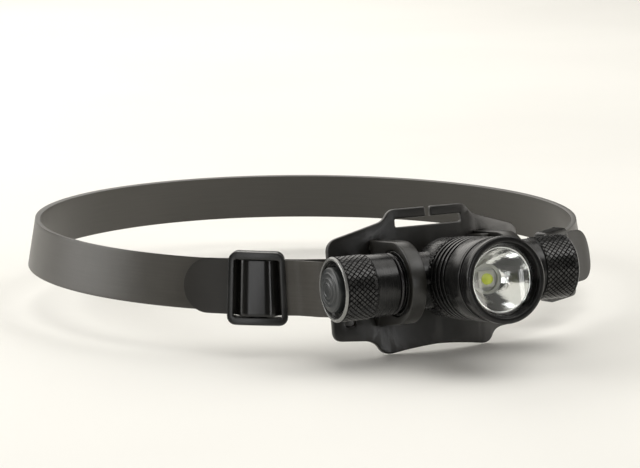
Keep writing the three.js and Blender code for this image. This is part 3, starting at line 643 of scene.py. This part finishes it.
def round_rim(bm, faces, radius, steps=3):
    """Rounds the whole rim of a flat region, holes included, by insets that rise to its level."""
    angles = [i / steps * pi / 2 for i in range(steps + 1)]
    for one, two in zip(angles, angles[1:]):
        bmesh.ops.inset_region(bm, faces=faces, thickness=radius * (cos(one) - cos(two)),
                               depth=radius * (sin(two) - sin(one)), use_boundary=True, use_even_offset=True)


def make_plate():
    bm = bmesh.new()
    half = plate_half()
    mirrored = [(-point[0], *point[1:]) for point in half[1:-1]][::-1]
    outline(bm, half + mirrored, True)
    inner, outer, low, high, corner = (WING_SLOT[key] for key in ("inner", "outer", "low", "high", "corner"))
    for side in (-1, 1):
        rim = [(side * x, z, corner) for x, z in ((inner, low), (outer, low), (outer, high), (inner, high))]
        outline(bm, rim, True)
        for end in (-1, 1):
            centre = Matrix.Translation((side * SCREW["x"], end * SCREW["z"] + AXIS_IN_PLATE.z, 0))
            bmesh.ops.create_circle(bm, segments=28, radius=SCREW["head"] + 0.2, matrix=centre)
    bmesh.ops.triangle_fill(bm, use_beauty=True, use_dissolve=False, edges=bm.edges[:])
    bm.transform(Matrix.Rotation(pi / 2, 4, "X"))
    bmesh.ops.recalc_face_normals(bm, faces=bm.faces)
    if bm.faces[0].normal.y < 0:
        bmesh.ops.reverse_faces(bm, faces=bm.faces)
    back = bm.faces[:]
    made = bmesh.ops.extrude_face_region(bm, geom=back, use_keep_orig=True)["geom"]
    front = [item for item in made if isinstance(item, bmesh.types.BMFace)]
    fronts = {item for item in made if isinstance(item, bmesh.types.BMVert)}
    bmesh.ops.translate(bm, vec=(0, 2 * PLATE["round"] - PLATE["thick"], 0), verts=list(fronts))
    bmesh.ops.translate(bm, vec=(0, -PLATE["round"], 0), verts=bm.verts)
    bmesh.ops.reverse_faces(bm, faces=front)
    round_rim(bm, front, PLATE["round"])
    round_rim(bm, back, PLATE["round"])
    for side in (-1, 1):
        ends = sorted((side * (inner - 0.5), side * (outer + 0.5)))
        top = WING_STEP["top"] - side * WING_STEP["slant"]
        block(bm, (ends[0], WING_STEP["front"], low - 0.5), (ends[1], -0.05, top), 0.2)
    spacing = 2.8
    for i in range(-13, 14):
        bmesh.ops.bisect_plane(bm, geom=bm.verts[:] + bm.edges[:] + bm.faces[:], dist=1e-4,
                               plane_co=(i * spacing, 0, 0), plane_no=(1, 0, 0))
    for vert in bm.verts:
        vert.co.y += bend(vert.co.x)
    bmesh.ops.recalc_face_normals(bm, faces=bm.faces)
    piece("bracket_plate_moulding", bm, BRACKET, "bracket", "moulded_black", "bracket_plate")


def clamp_outline():
    """The clamp's D-shaped outline as (forward, up) round the barrel axis, its straight foot on the plate."""
    radius, foot = CLAMP["radius"], CLAMP["foot"]
    arch = [(radius * cos(angle), radius * sin(angle)) for angle in (pi / 40 * i for i in range(-20, 21))]
    side = [(-AXIS_STANDOFF * i / 5, radius + (foot - radius) * i / 5) for i in range(1, 6)]
    sole = [(-AXIS_STANDOFF, foot * (1 - i / 6)) for i in range(1, 12)]
    return arch + side + sole + [(x, -z) for x, z in reversed(side)]


def make_clamp(name, side):
    bm = bmesh.new()
    rim = clamp_outline()
    loops = []
    for scale in (False, True):
        verts = []
        for forward, up in rim:
            shrink = CLAMP["bore"] / hypot(forward, up) if scale else 1
            verts.append(bm.verts.new((CLAMP["inner"], -AXIS_STANDOFF - forward * shrink, up * shrink)))
        loops += [bm.edges.new(pair) for pair in zip(verts, verts[1:] + verts[:1])]
    faces = bmesh.ops.bridge_loops(bm, edges=loops)["faces"]
    made = bmesh.ops.extrude_face_region(bm, geom=faces, use_keep_orig=True)["geom"]
    moved = [item for item in made if isinstance(item, bmesh.types.BMVert)]
    bmesh.ops.translate(bm, vec=(CLAMP["outer"] - CLAMP["inner"], 0, 0), verts=moved)
    bmesh.ops.recalc_face_normals(bm, faces=bm.faces)
    ease_edges(bm, 0.4, 3)
    for up in (-1, 1):
        heights = sorted((up * RIB["low"], up * RIB["high"]))
        block(bm, (RIB["inner"], -RIB["reach"], heights[0]), (RIB["outer"], -1, heights[1]), 0.3)
    for vert in bm.verts:
        sole = bend(vert.co.x) - PLATE["thick"] - 0.02
        share = max(0, (vert.co.y + 3) / 3)
        vert.co.y += share * sole
    if side < 0:
        bmesh.ops.scale(bm, vec=(-1, 1, 1), verts=bm.verts)
        bmesh.ops.recalc_face_normals(bm, faces=bm.faces)
    piece(f"clamp_{name}_block", bm, CLAMPS, "bracket", "moulded_black", f"clamp_{name}")


def make_bush(name, side):
    points = [(BUSH["inner"], BUSH["bore"], 0.2), (BUSH["outer"], BUSH["bore"], 0.2)]
    points += [(BUSH["outer"], BUSH["radius"], 0.2), (BUSH["inner"], BUSH["radius"], 0.2)]
    facing = Matrix.Rotation(0 if side > 0 else pi, 4, "Z")
    place = CLAMPS @ Matrix.Translation((0, -AXIS_STANDOFF, 0)) @ facing
    lathe_piece(f"bush_{name}_ring", points, place, "bracket", "gloss_black", f"tilt_bush_{name}",
                closed=True)


def make_screw(number, x, z):
    """A countersunk screw, driven from the back, with a hexagonal socket."""
    bm = bmesh.new()
    socket = SCREW["socket"]
    count = 24
    rings = []
    for radius_at in (lambda a: SCREW["head"], lambda a: socket / cos((a + pi / 6) % (pi / 3) - pi / 6)):
        angles = [2 * pi * i / count for i in range(count)]
        verts = [bm.verts.new((0, radius_at(a) * cos(a), radius_at(a) * sin(a))) for a in angles]
        rings.append([bm.edges.new(pair) for pair in zip(verts, verts[1:] + verts[:1])])
    bmesh.ops.bridge_loops(bm, edges=rings[0] + rings[1])
    levels = [(rings[1], [(1.6, 1.0)])]
    levels.append((rings[0], [(0.3, 1), (1.5, 0.56), (SCREW["tip"], 0.56), (SCREW["tip"] + 0.6, 0.35)]))
    for edges, moves in levels:
        base = {vert: vert.co.copy() for edge in edges for vert in edge.verts}
        for depth, share in moves:
            made = bmesh.ops.extrude_edge_only(bm, edges=edges)["geom"]
            edges = [item for item in made if isinstance(item, bmesh.types.BMEdge)]
            for vert in {vert for edge in edges for vert in edge.verts}:
                way = vert.co.yz.normalized()
                start = min(base.values(), key=lambda co: (co.yz.normalized() - way).length)
                vert.co = (depth, start.y * share, start.z * share)
        bmesh.ops.holes_fill(bm, edges=edges, sides=0)
    bmesh.ops.recalc_face_normals(bm, faces=bm.faces)
    ease_edges(bm, 0.12, 2, radians(40))
    wrap_map(bm)
    place = CLAMPS @ Matrix.Translation((x, 0.6, z)) @ Matrix.Rotation(-pi / 2, 4, "Z")
    piece(f"screw_{number}_socket_head", bm, place, "bracket", "steel", f"clamp_screw_{number}")


# ---- strap and buckles ----

LOOP_STEPS = 3600


def loop_lengths():
    """Arc length round the loop from the front at every LOOP_STEPS-th of a turn."""
    lengths = [0.0]
    for i in range(LOOP_STEPS):
        angle = 2 * pi * (i + 0.5) / LOOP_STEPS
        wide = LOOP["left" if angle < pi else "right"]
        speed = hypot(wide * cos(angle), LOOP["half_depth"] * sin(angle))
        lengths.append(lengths[-1] + speed * 2 * pi / LOOP_STEPS)
    return lengths


LENGTHS = loop_lengths()


def loop_normal(x, y):
    wide, deep = LOOP["left" if x < 0 else "right"], LOOP["half_depth"]
    return Vector((x / wide ** 2, (y - deep) / deep ** 2)).normalized()


def on_loop(u, d):
    """The plan point u mm along the loop from the front, positive to -X, and d mm outside it."""
    u %= LENGTHS[-1]
    low, high = 0, LOOP_STEPS
    while high - low > 1:
        middle = (low + high) // 2
        if LENGTHS[middle] <= u:
            low = middle
        else:
            high = middle
    share = (u - LENGTHS[low]) / (LENGTHS[high] - LENGTHS[low])
    angle = 2 * pi * (low + share) / LOOP_STEPS
    wide, deep = LOOP["left" if angle < pi else "right"], LOOP["half_depth"]
    point = Vector((-wide * sin(angle), deep - deep * cos(angle)))
    return point + loop_normal(point.x, point.y) * d


def smooth(value, low, high):
    t = min(max((value - low) / (high - low), 0), 1)
    return t * t * (3 - 2 * t)


def lean(x, y, z):
    """Leans an upright point with the helmet's wall and drops it to the loop's own slight slope."""
    height = z + LOOP["height"] - x * LOOP["slope"]
    out = loop_normal(x, y)
    slant = height * tan(HELMET_LEAN)
    return Vector((x - out.x * smooth(abs(x), 45, 70) * slant, y - out.y * slant, height))


def outer_layer(u, side):
    """How far outside the inner layer the outer layer of the strap runs."""
    over_bar = 1 - smooth(abs(u - side["buckle"]), 3.4, 7.8)
    over_plate = 1 - smooth(u, 40, 51)
    tail = smooth(u, side["buckle"] + 12, side["tip"])
    plate_rise = (STRAP["bar"] - STRAP["layer"]) * over_plate
    return STRAP["layer"] + 2.6 * over_bar + plate_rise + side["lift"] * tail


def strap_side(side):
    """Stations (u, d, half width, painted light and tone) from the free tip, over the buckle's bar, round the
    plate's.
    """
    stations = []
    tip, end = side["tip"], 9.0

    def painted_light_and_tone(u):
        # Painted light before the buckle (-0.9), a darker tail after it (1), and painted shade in the
        # buckle's window (+1.2 more).
        outer_light_and_tone = 1.9 * smooth(u, side["buckle"] - 10, side["buckle"] - 7) - 0.9
        return outer_light_and_tone + 1.2 * (1 - smooth(abs(u - side["buckle"]), 7, 8.2))

    for i in range(15):
        t = 0.04 + 0.96 * i / 14
        u = tip - end * (1 - cos(t * pi / 2))
        stations.append((u, outer_layer(u, side), STRAP["half"] * sin(t * pi / 2), painted_light_and_tone(u)))
    u = tip - end - 1
    while u > BAR_TURN["u"] + 1:
        stations.append((u, outer_layer(u, side), STRAP["half"], painted_light_and_tone(u)))
        u -= 1
    middle = BAR_TURN["d"] + side["turn_lift"]
    for i in range(17):
        angle = i / 16 * pi
        turn_u = BAR_TURN["u"] - BAR_TURN["radius"] * sin(angle)
        stations.append((turn_u, middle + BAR_TURN["radius"] * cos(angle), STRAP["half"], -0.9))
    u = BAR_TURN["u"] + 2
    while u < 100:
        inner = (middle - BAR_TURN["radius"]) * (1 - smooth(u, 38, 52))
        stretch = smooth(u, 66, 88)
        half = STRAP["half"] + (STRAP["half_stretched"] - STRAP["half"]) * stretch
        stations.append((u, inner, half, 0))
        u += 2
    return stations


def strap_stations():
    left, right = strap_side(SIDES["left"]), strap_side(SIDES["right"])
    length = LENGTHS[-1]
    span = length - 204
    back = [(102 + span * i / 170, 0, STRAP["half_stretched"], 0) for i in range(171)]
    return left + back + [(-u, d, half, strap_light_and_tone) for u, d, half, strap_light_and_tone in reversed(right)]


def make_strap():
    stations = strap_stations()
    across = STRAP["across"]
    bm = bmesh.new()
    bmesh.ops.create_grid(bm, x_segments=len(stations) - 1, y_segments=across, size=1)
    flat = [on_loop(u, d) for u, d, half, strap_light_and_tone in stations]
    run = [0.0]
    for one, two in zip(flat, flat[1:]):
        run.append(run[-1] + (two - one).length)
    painted_light_and_tone = bm.verts.layers.float.new("strap_light_and_tone")
    wrap = bm.loops.layers.uv.new("wrap")
    for vert in bm.verts:
        station = round((vert.co.x + 1) / 2 * (len(stations) - 1))
        share = vert.co.y
        u, d, half, strap_light_and_tone = stations[station]
        for loop in vert.link_loops:
            loop[wrap].uv = (run[station], share * half)
        vert[painted_light_and_tone] = strap_light_and_tone
        vert.co = lean(flat[station].x, flat[station].y, share * half)
    made = piece("strap_band", bm, Matrix.Identity(4), "bracket", "strap_rubber", "strap")
    for edge in made.data.edges:
        edge.use_edge_sharp = False
    wall = made.modifiers.new("wall", "SOLIDIFY")
    wall.thickness = STRAP["thick"] * MM
    wall.offset = 0
    wall.use_even_offset = True
    rim = made.modifiers.new("rim", "BEVEL")
    rim.width = 0.55 * MM
    rim.segments = 3
    rim.limit_method = "ANGLE"
    rim.angle_limit = radians(50)


def frame_rim(half_u, half_z, corner, rows, columns, turns=5):
    """A rounded rectangle in u and z with rows and columns of points on its straight sides."""
    points = []
    corners = [(1, 1, 0), (-1, 1, pi / 2), (-1, -1, pi), (1, -1, 1.5 * pi)]
    for number, (su, sz, start) in enumerate(corners):
        centre = (su * (half_u - corner), sz * (half_z - corner))
        for i in range(turns + 1):
            angle = start + i / turns * pi / 2
            points.append((centre[0] + corner * cos(angle), centre[1] + corner * sin(angle)))
        su2, sz2, start2 = corners[(number + 1) % 4]
        after = (su2 * (half_u - corner) + corner * cos(start2),
                 sz2 * (half_z - corner) + corner * sin(start2))
        count = columns if number % 2 == 0 else rows
        before = points[-1]
        for i in range(1, count):
            points.append(tuple(before[k] + (after[k] - before[k]) * i / count for k in (0, 1)))
    return points


def make_buckle(name, side):
    """A sliding buckle: a frame whose side bars arch over the strap, and a centre bar under it."""
    half, rail, top, bed = (BUCKLE[key] for key in ("half", "rail", "top", "bed"))
    bm = bmesh.new()
    loops = []
    for half_u, half_z, corner in ((half, rail, 3.0), (BUCKLE["side_bar"], BUCKLE["window"], 0.9)):
        verts = [bm.verts.new((u, z, bed)) for u, z in frame_rim(half_u, half_z, corner, 8, 6)]
        loops += [bm.edges.new(pair) for pair in zip(verts, verts[1:] + verts[:1])]
    faces = bmesh.ops.bridge_loops(bm, edges=loops)["faces"]
    made = bmesh.ops.extrude_face_region(bm, geom=faces, use_keep_orig=True)["geom"]
    moved = [item for item in made if isinstance(item, bmesh.types.BMVert)]
    bmesh.ops.translate(bm, vec=(0, 0, top - bed), verts=moved)
    for vert in bm.verts:
        if vert.co.z < BUCKLE_ARCH and abs(vert.co.y) < BUCKLE["window"] - 0.5:
            vert.co.z = BUCKLE_ARCH
    bmesh.ops.recalc_face_normals(bm, faces=bm.faces)
    ease_edges(bm, 0.92, 4)
    bar, reach = BUCKLE["centre_bar"], BUCKLE["window"] + 0.6
    block(bm, (-bar, -reach, bed), (bar, reach, BUCKLE_ARCH), 0.6)
    for vert in bm.verts:
        point = on_loop(side["sign"] * (side["buckle"] + vert.co.x), vert.co.z)
        vert.co = lean(point.x, point.y, vert.co.y)
    bmesh.ops.recalc_face_normals(bm, faces=bm.faces)
    piece(f"buckle_{name}_slide", bm, Matrix.Identity(4), "bracket", "gloss_black", f"buckle_{name}")


# ---- body of the light ----

def thread(start, end):
    """Ridges of a coarse thread."""
    points = []
    turns = int((end - start) / THREAD["pitch"])
    for i in range(turns):
        at = start + i * THREAD["pitch"]
        points += [(at, THREAD["root"]), (at + 0.35, THREAD["root"]), (at + 0.65, THREAD["crest"])]
        points += [(at + 1.1, THREAD["crest"])]
    return points + [(start + turns * THREAD["pitch"], THREAD["root"])]


def make_body_tee():
    right = [(BARREL["groove_in"], BARREL["radius"], 0.2), (BARREL["groove_in"], BARREL["groove"])]
    right += [(BARREL["groove_out"], BARREL["groove"])] + thread(BARREL["groove_out"], BARREL["end"] - 0.4)
    right += [(BARREL["end"], THREAD["root"], 0.25), (BARREL["end"], 0)]
    left = [(-point[0], *point[1:]) for point in reversed(right)]
    body = turned(left + right)
    pitch, rows, columns = 0.75, 4, 112
    hub = [(HUB["back"], 0), (HUB["back"], HUB["radius"], 0.7)]
    hub += [(6.55, HUB["radius"])] + grip_line(6.6, pitch, rows, 14.9) + [(9.65, HUB["radius"])]
    hub += [(HUB["front"], HUB["radius"], 0.3), (HUB["front"], HUB["neck"])]
    hub += [(11.2, HUB["neck"]), (11.2, 11.5), (12.6, 11.5), (12.6, HUB["neck"])]
    hub += [(HUB["neck_end"], HUB["neck"], 0.2), (HUB["neck_end"], 0)]
    head = turned(hub, columns)
    cut_knurl(head, 6.6, pitch, rows, 14.9, columns)
    head.transform(Matrix.Rotation(-pi / 2, 4, "Z"))
    body = boolean(body, head, "UNION")
    reach = BARREL["end"] + 5
    body = boolean(body, turned([(-reach, 0), (-reach, BARREL["bore"]), (reach, BARREL["bore"]), (reach, 0)]),
                   "DIFFERENCE")
    passage = turned([(0, 0), (0, HUB["passage"]), (20, HUB["passage"]), (20, 0)], SMALL_STEPS)
    passage.transform(Matrix.Rotation(-pi / 2, 4, "Z"))
    body = boolean(body, passage, "DIFFERENCE")
    wrap_map(body)
    piece("body_tee_machined", body, LAMP, "lamp", "anodised", "body_tee")


def make_head_housing():
    """Cooling fins, then a plain band with a fine groove, then the neck that the bezel closes on."""
    outer, root = 14.9, 13.6
    points = [(10.5, 12.7), (10.5, outer, 0.15), (11.6, outer, 0.15), (11.7, root, 0.2)]
    for start in (13.1, 16, 18.9):
        points += [(start - 0.1, root, 0.2), (start, outer, 0.15), (start + 1.45, outer, 0.15)]
        points += [(start + 1.55, root, 0.2)]
    points += [(21.2, root, 0.2), (21.3, outer, 0.3), (30.4, outer), (30.6, outer - 0.22), (30.8, outer)]
    points += [(31.8, outer, 0.2), (31.8, 13.1), (34, 13.1, 0.15), (34, 11.9), (31.8, 11.9), (31.8, 12.4)]
    points += [(23.4, 12.4), (23.4, 0.6), (20.6, 0.6), (20.6, 11.2), (14.6, 11.2), (14.6, 12.7)]
    lathe_piece("head_housing_finned", points, FORWARD, "lamp", "anodised", "head_housing",
                closed=True, steps=128)


def make_bezel():
    points = [(32.1, 13.4), (32.1, 14.7, 0.25), (36.05, 14.7, 0.12), (36.35, 15.25, 0.15), (39, 15.25, 0.6)]
    points += [(39, 13.2, 0.25), (36.65, 12, 0.12), (36.65, 12.9), (34.3, 12.9), (34.3, 13.4)]
    lathe_piece("bezel_screwed_ring", points, FORWARD, "lamp", "anodised", "bezel", closed=True, steps=128)


def make_reflector():
    """A parabolic cup whose focus is the light source."""
    focus, back, front, opening, rim = 27.2, 26.3, 34.6, 10.8, 11.6
    reach = front - focus
    focal = (hypot(reach, opening) - reach) / 2
    steps = 40
    inner = []
    for i in range(steps + 1):
        at = back + (front - back) * (i / steps) ** 1.5
        inner.append((at, sqrt(4 * focal * (at - focus + focal))))
    outer = [(at, min(radius + 0.9, rim - 0.3)) for at, radius in inner[:-1:3]]
    bead = [(front + 0.25 * sin(a), opening + 0.4 - 0.4 * cos(a)) for a in (pi * i / 8 for i in range(1, 9))]
    points = inner + bead + [(33.6, rim), (33.6, rim - 0.3)] + outer[::-1]
    lathe_piece("reflector_cup", points, FORWARD, "lamp", "mirror", "reflector", closed=True, steps=128)


def make_light_source():
    """The emitter on its metal board, and the ring that centres the reflector on it."""
    lathe_piece("emitter_board", [(23.6, 0), (23.6, 8, 0.1), (25.1, 8, 0.1), (25.1, 0)], FORWARD, "lamp",
                "metal_board", "led_board", steps=SMALL_STEPS)
    bm = bmesh.new()
    block(bm, (25.25, -2.5, -2.5), (26, 2.5, 2.5), 0.12)
    piece("emitter_package", bm, FORWARD, "lamp", "ceramic", "led_package")
    height, radius = 1.6, 1.75
    dome = [(26.15 + height * cos(a), radius * sin(a)) for a in (pi / 2 * i / 10 for i in range(11))]
    lathe_piece("emitter_dome", dome + [(26.15, 0)], FORWARD, "lamp", "phosphor", "led_dome",
                steps=SMALL_STEPS)
    ring = [(25.25, 3.75), (25.25, 5.2), (26, 5.2, 0.15), (26, 3.75, 0.15)]
    lathe_piece("emitter_centring_ring", ring, FORWARD, "lamp", "white_plastic", "centring_ring", closed=True,
                steps=SMALL_STEPS)


def make_lens():
    lathe_piece("lens_disc", [(35, 0), (35, 12.6, 0.15), (36.5, 12.6, 0.25), (36.5, 0)], FORWARD, "lamp",
                "lens_glass", "lens", steps=128)
    lathe_piece("lens_seal_ring", seal_outline(34.5, 12.18, 0.38), FORWARD, "lamp", "seal_rubber",
                "lens_seal", closed=True)


def make_seals():
    lathe_piece("neck_seal_ring", seal_outline(11.9, 12.1, 0.45), FORWARD, "lamp", "seal_rubber", "neck_seal",
                closed=True)
    for name, place in (("left", LEFTWARD), ("right", RIGHTWARD)):
        lathe_piece(f"cap_seal_{name}_ring", seal_outline(25.45, 10.25, 0.78), place, "lamp", "seal_rubber",
                    f"cap_seal_{name}", closed=True)


def make_cells():
    for number, place in (("1", LEFTWARD), ("2", RIGHTWARD)):
        start = 0.1
        points = [(start, 0), (start, 3, 0.3), (start + 1.2, 3), (start + 1.2, 8.05)]
        points += [(start + 1.6, 8.45, 0.3)]
        points += [(start + 34.5, 8.45, 0.5), (start + 34.5, 0)]
        if number == "1":
            points = [(34.7 - at, *rest) for at, *rest in reversed(points)]
        lathe_piece(f"cell_{number}_sleeved", points, place, "lamp", "cell_wrap", f"cell_{number}")


# ---- caps ----

def make_switch_cap():
    pitch, rows, columns, start = 1.05, 11, 76, 35.7
    points = [(26.6, 10.2), (26.6, 11.0, 0.1), (26.85, 11.2, 0.1), (35.2, 11.2), (35.35, 11.05)]
    points += [(35.5, 11.05)] + grip_line(start, pitch, rows, 11.6)
    points += [(47.35, 11.6, 0.08), (48, 10.95, 0.12), (48, 10.35, 0.12), (46.7, 10.0), (46.7, 8.4)]
    points += [(45.8, 8.4), (45.8, 10.2)]
    bm = turned(points, columns, True)
    cut_knurl(bm, start, pitch, rows, 11.6, columns)
    # A painted highlight on the rim of the cap's mouth.
    painted_rim_highlight(bm, 47.37, 48.1)
    wrap_map(bm)
    piece("switch_cap_knurled", bm, LEFTWARD, "switch_cap", "anodised", "switch_cap")


def make_battery_cap():
    pitch, rows, columns, start = 1.05, 12, 76, 32.65
    points = [(40, 0), (40, 10.2), (26.6, 10.2), (26.6, 11.0, 0.1), (26.85, 11.2, 0.1), (32.1, 11.2)]
    points += [(32.25, 11.05), (32.45, 11.05)] + grip_line(start, pitch, rows, 11.6)
    points += [(45.35, 11.6), (46, 10.95, 0.12), (46, 0)]
    bm = turned(points, columns)
    cut_knurl(bm, start, pitch, rows, 11.6, columns)
    wrap_map(bm)
    piece("battery_cap_knurled", bm, RIGHTWARD, "battery_cap", "anodised", "battery_cap")


RIDGE = {"from": 1.2, "first": 2.4, "pitch": 1.75, "to": 6.6, "height": 0.22}  # on the button's face


def make_boot():
    """A rubber dome with three low concentric ridges, and the white plunger behind it."""
    crown, edge, rise = 50.3, 7.5, 1.1
    dome = []
    for i in range(51):
        radius = edge * (1 - i / 50)
        ridged = RIDGE["from"] < radius < RIDGE["to"]
        ridge = max(0, cos(2 * pi * (radius - RIDGE["first"]) / RIDGE["pitch"])) if ridged else 0
        dome.append((crown - rise * (radius / edge) ** 2 + RIDGE["height"] * ridge, radius))
    points = [(44.7, 0), (44.7, 9.6), (45.5, 9.6), (45.5, 8, 0.15), (48.8, 8, 0.4)] + dome
    lathe_piece("boot_dome", points, LEFTWARD, "button", "boot_rubber", "button_boot")
    plunger = [(42.1, 0), (42.1, 1.8, 0.2), (44.5, 1.8, 0.2), (44.5, 0)]
    lathe_piece("boot_plunger", plunger, LEFTWARD, "button", "white_plastic", "button_plunger",
                steps=SMALL_STEPS)


def coil(name, place, body, node_name, wide, narrow, low, high):
    """A conical contact spring, wound by a spin that also travels, then tapered."""
    bm = bmesh.new()
    turns, wire, count = 3.5, 0.28, 90
    ring = bmesh.ops.create_circle(bm, segments=8, radius=wire, cap_ends=True)["verts"]
    bmesh.ops.rotate(bm, verts=ring, cent=(0, 0, 0), matrix=Matrix.Rotation(0, 3, "X"))
    bmesh.ops.translate(bm, verts=ring, vec=(low + wire, 1, 0))
    bmesh.ops.spin(bm, geom=bm.verts[:] + bm.edges[:] + bm.faces[:], cent=(0, 0, 0), axis=(1, 0, 0),
                   dvec=((high - low - 2 * wire) / count, 0, 0), angle=2 * pi * turns, steps=count,
                   use_duplicate=False)
    for vert in bm.verts:
        share = (vert.co.x - low) / (high - low)
        out = Vector((vert.co.y, vert.co.z))
        radius = narrow + (wide - narrow) * share
        scaled = out.normalized() * (radius - 1 + out.length)
        vert.co = (vert.co.x, scaled.x, scaled.y)
    bmesh.ops.recalc_face_normals(bm, faces=bm.faces)
    wrap_map(bm)
    piece(name, bm, place, body, "brass", node_name)


def make_stack():
    """What the two caps hold: switch, board and ring on the left, the contact board on the right."""
    discs = {
        "switch_carrier": (38.4, 43.2, 5, 9.8, LEFTWARD, "switch_cap", "wire_black"),
        "switch_ring": (35.2, 36.7, 7, 9.8, LEFTWARD, "switch_cap", "brass"),
        "battery_ring": (36.6, 38, 7, 9.8, RIGHTWARD, "battery_cap", "brass"),
    }
    for name, (low, high, inner, outer, place, body, finish) in discs.items():
        points = [(low, inner, 0.1), (low, outer, 0.2), (high, outer, 0.2), (high, inner, 0.1)]
        lathe_piece(f"{name}_turned", points, place, body, finish, name, closed=True)
    plates = {
        "switch_body": (38.3, 40.8, 4.6, LEFTWARD, "switch_cap", "wire_black"),
        "switch_board": (36.9, 38.1, 9.8, LEFTWARD, "switch_cap", "circuit_board"),
        "battery_contact": (38.2, 39.7, 9.8, RIGHTWARD, "battery_cap", "circuit_board"),
    }
    for name, (low, high, outer, place, body, finish) in plates.items():
        points = [(low, 0), (low, outer, 0.15), (high, outer, 0.15), (high, 0)]
        lathe_piece(f"{name}_disc", points, place, body, finish, name)
    coil("switch_spring_coil", LEFTWARD, "switch_thread", "switch_spring", 4.6, 3.0, 34.9, 36.7)
    coil("battery_spring_coil", RIGHTWARD, "battery_thread", "battery_spring", 4.6, 3.0, 34.9, 38)


def make_driver():
    """The driver board behind the web, its inductor and the two leads to the emitter."""
    disc = [(15, 0), (15, 10.9, 0.1), (16.2, 10.9, 0.1), (16.2, 0)]
    lathe_piece("driver_board_disc", disc, FORWARD, "lamp", "circuit_board", "driver_board")
    raised = FORWARD @ Matrix.Translation((0, 0, 5))
    inductor = [(16.4, 0), (16.4, 2.6, 0.3), (18.3, 2.6, 0.5), (18.3, 0)]
    lathe_piece("driver_inductor_drum", inductor, raised, "lamp", "wire_black", "driver_inductor",
                steps=SMALL_STEPS)
    for name, side in (("red", 1), ("black", -1)):
        place = FORWARD @ Matrix.Translation((0, side * 6.5, 0))
        lead = [(16.4, 0), (16.4, 0.6, 0.1), (23.45, 0.6, 0.1), (23.45, 0)]
        lathe_piece(f"lead_{name}_wire", lead, place, "lamp", f"wire_{name}", f"lead_{name}", steps=16)


# ---- floor ----

def make_floor():
    low = CAD_BOX[0].z
    bm = bmesh.new()
    bmesh.ops.create_circle(bm, cap_ends=True, segments=64, radius=9)
    bmesh.ops.translate(bm, verts=bm.verts, vec=(0, 0, low - 0.0002))
    mesh = bpy.data.meshes.new("floor")
    bm.to_mesh(mesh)
    bm.free()
    mesh.materials.append(surface("pale_floor", rgb(0.82, 0.81, 0.77), rgb(0.86, 0.85, 0.81), (0.7, 0.85),
                                  grain=1.0, patch=300, bump=0.0, dust=0.0))
    floor = bpy.data.objects.new("floor", mesh)
    bpy.context.scene.collection.objects.link(floor)


# ---- the object ----

make_camera()
make_light()
make_floor()
make_plate()
for side_name, side_sign in (("left", -1), ("right", 1)):
    make_clamp(side_name, side_sign)
    make_bush(side_name, side_sign)
SCREW_SPOTS = [(sx * SCREW["x"], sz * SCREW["z"]) for sx in (1, -1) for sz in (1, -1)]
for screw_number, (screw_x, screw_z) in enumerate(SCREW_SPOTS, 1):
    make_screw(screw_number, screw_x, screw_z)
make_strap()
for side_name, side_values in SIDES.items():
    make_buckle(side_name, side_values)
make_body_tee()
make_head_housing()
make_bezel()
make_reflector()
make_light_source()
make_lens()
make_seals()
make_cells()
make_switch_cap()
make_battery_cap()
make_boot()
make_stack()
make_driver()
